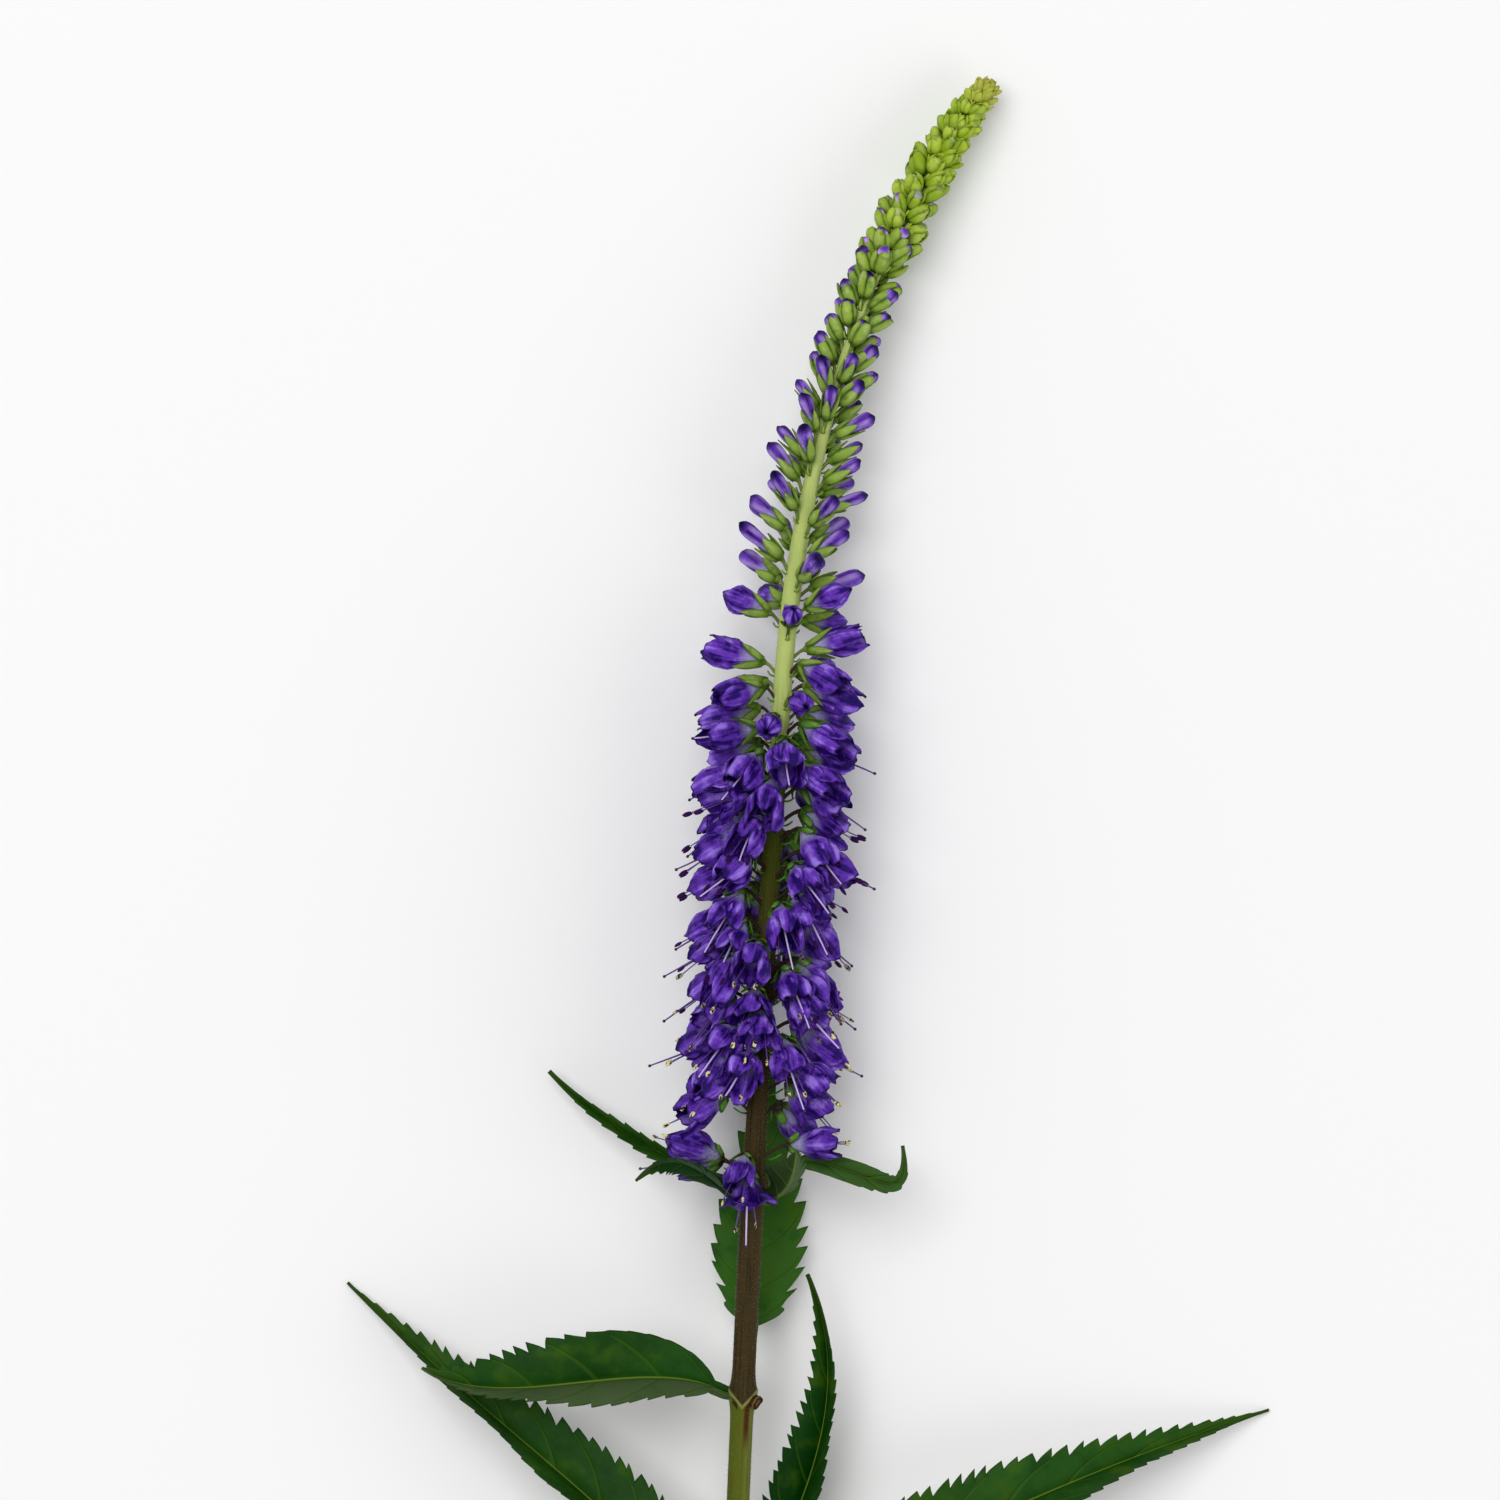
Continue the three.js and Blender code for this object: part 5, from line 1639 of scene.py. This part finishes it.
# Anthers and stigmas
#
# Each filament ends in a dark two-part anther, which is dusted with cream pollen on the oldest florets. Each
# style ends in a tiny dark knob.
ANTHER_PROFILE = [(0, 0.05), (0.18, 0.17), (0.5, 0.23), (0.82, 0.17), (1, 0.05)]
ANTHER_LENGTH = 1.3
ANTHER_SPREAD = 0.14
STIGMA_PROFILE = [(0, 0.12), (0.35, 0.21), (0.7, 0.19), (1, 0.05)]
STIGMA_LENGTH = 0.42
KNOB_SIDES = 6


def lathe(profile, length, sideways):
    """A closed round body along Z, moved sideways."""
    turns = 2 * math.pi * np.arange(KNOB_SIDES) / KNOB_SIDES
    rings = np.array([round_axis(radius, turns, share * length) for share, radius in profile])
    rings[..., 1] += sideways
    return closed_tube(rings)


anther_shape = Shape()
for sideways in (-ANTHER_SPREAD, ANTHER_SPREAD):
    anther_shape.add(*lathe(ANTHER_PROFILE, ANTHER_LENGTH, sideways), {})
stigma_shape = Shape().add(*lathe(STIGMA_PROFILE, STIGMA_LENGTH, 0), {})

ANTHER_DARK = linear(48, 8, 70)
POLLEN = linear(226, 218, 150)
finish = Finish("anther")
dust = finish.noise(finish.place(), 2600.0, 2.0)
old = (finish.number("age") + (finish.number("tone") - 0.5) * 0.3).eased(0.6, 0.85)
colour = finish.mixed(ANTHER_DARK, POLLEN, dust.eased(0.42, 0.52) * old)
planted("anthers", "bell", [anther_shape], anther_plants, finish.surface(colour, 0.7, 0.12))

STIGMA_DARK = linear(44, 26, 50)
STIGMA_MATERIAL = Finish("stigma").surface(STIGMA_DARK, 0.6)
planted("stigmas", "bell", [stigma_shape], stigma_plants, STIGMA_MATERIAL)

# Bracts
#
# A slender green bract stands under each pedicel, a little broader at the tip of the spike, where the last
# ones form a small tuft. Each is a thin keeled leaflet with the finish of the sepals.
BRACT_LENGTH_KEYS = [(231, 2.4), (272, 2), (286, 1.2), (312, 1.1), (340, 1.5), (370, 2), (380, 1.8)]
BRACT_TILT_KEYS = [(231, 74), (300, 66), (340, 48), (372, 46), (380, 26)]
BRACT_TILT_SPREAD = 16
BRACT_ROWS = np.array([0, 0.2, 0.45, 0.7, 0.88, 1])
BRACT_COLUMNS = np.array([-1, 0, 1])
BRACT_WIDTHS = [(0, 0.6), (0.3, 1), (0.7, 0.6), (1, 0.08)]
BRACT_HALF_WIDTH = 0.31
BRACT_THICKNESS = 0.13
BRACT_KEEL = 0.12
BRACT_BEND = 0.25
TIP_BRACT_WIDTH = 1.2


def bract_shape():
    """A bract of unit length along Z, keeled on its outer side and bent back towards the spike."""
    along = BRACT_ROWS[:, None]
    across = BRACT_COLUMNS[None, :]
    grid = np.stack([BRACT_KEEL * (1 - np.abs(across)) + BRACT_BEND * np.sin(math.pi * along) + 0 * across,
                     across * BRACT_HALF_WIDTH * keyed(BRACT_WIDTHS, along), along + 0 * across], axis=-1)
    return Shape().add(*sheet_over(grid, BRACT_ROWS, BRACT_COLUMNS, BRACT_THICKNESS))


plants = []
for floret in open_florets + bud_florets + tip_florets:
    tilt = value_at(BRACT_TILT_KEYS, floret.place) + BRACT_TILT_SPREAD * (floret.chance(31) - 0.5)
    tilt = math.radians(tilt)
    way = floret.forward * math.cos(tilt) + floret.out * math.sin(tilt)
    facing = Matrix((floret.across.cross(way), floret.across, way)).transposed().to_quaternion()
    width = TIP_BRACT_WIDTH if floret.place > TIP_START else 1
    length = value_at(BRACT_LENGTH_KEYS, floret.place) * floret.between(0.85, 1.15, 32)
    root = floret.skin - floret.out * 0.25 - floret.forward * 1.2
    plants.append((root, facing, (width, width, length), 0, floret.chance(33), floret.age * 0.8,
                   floret.place))
planted("bracts", "tip", [bract_shape()], plants, SEPAL_MATERIAL)
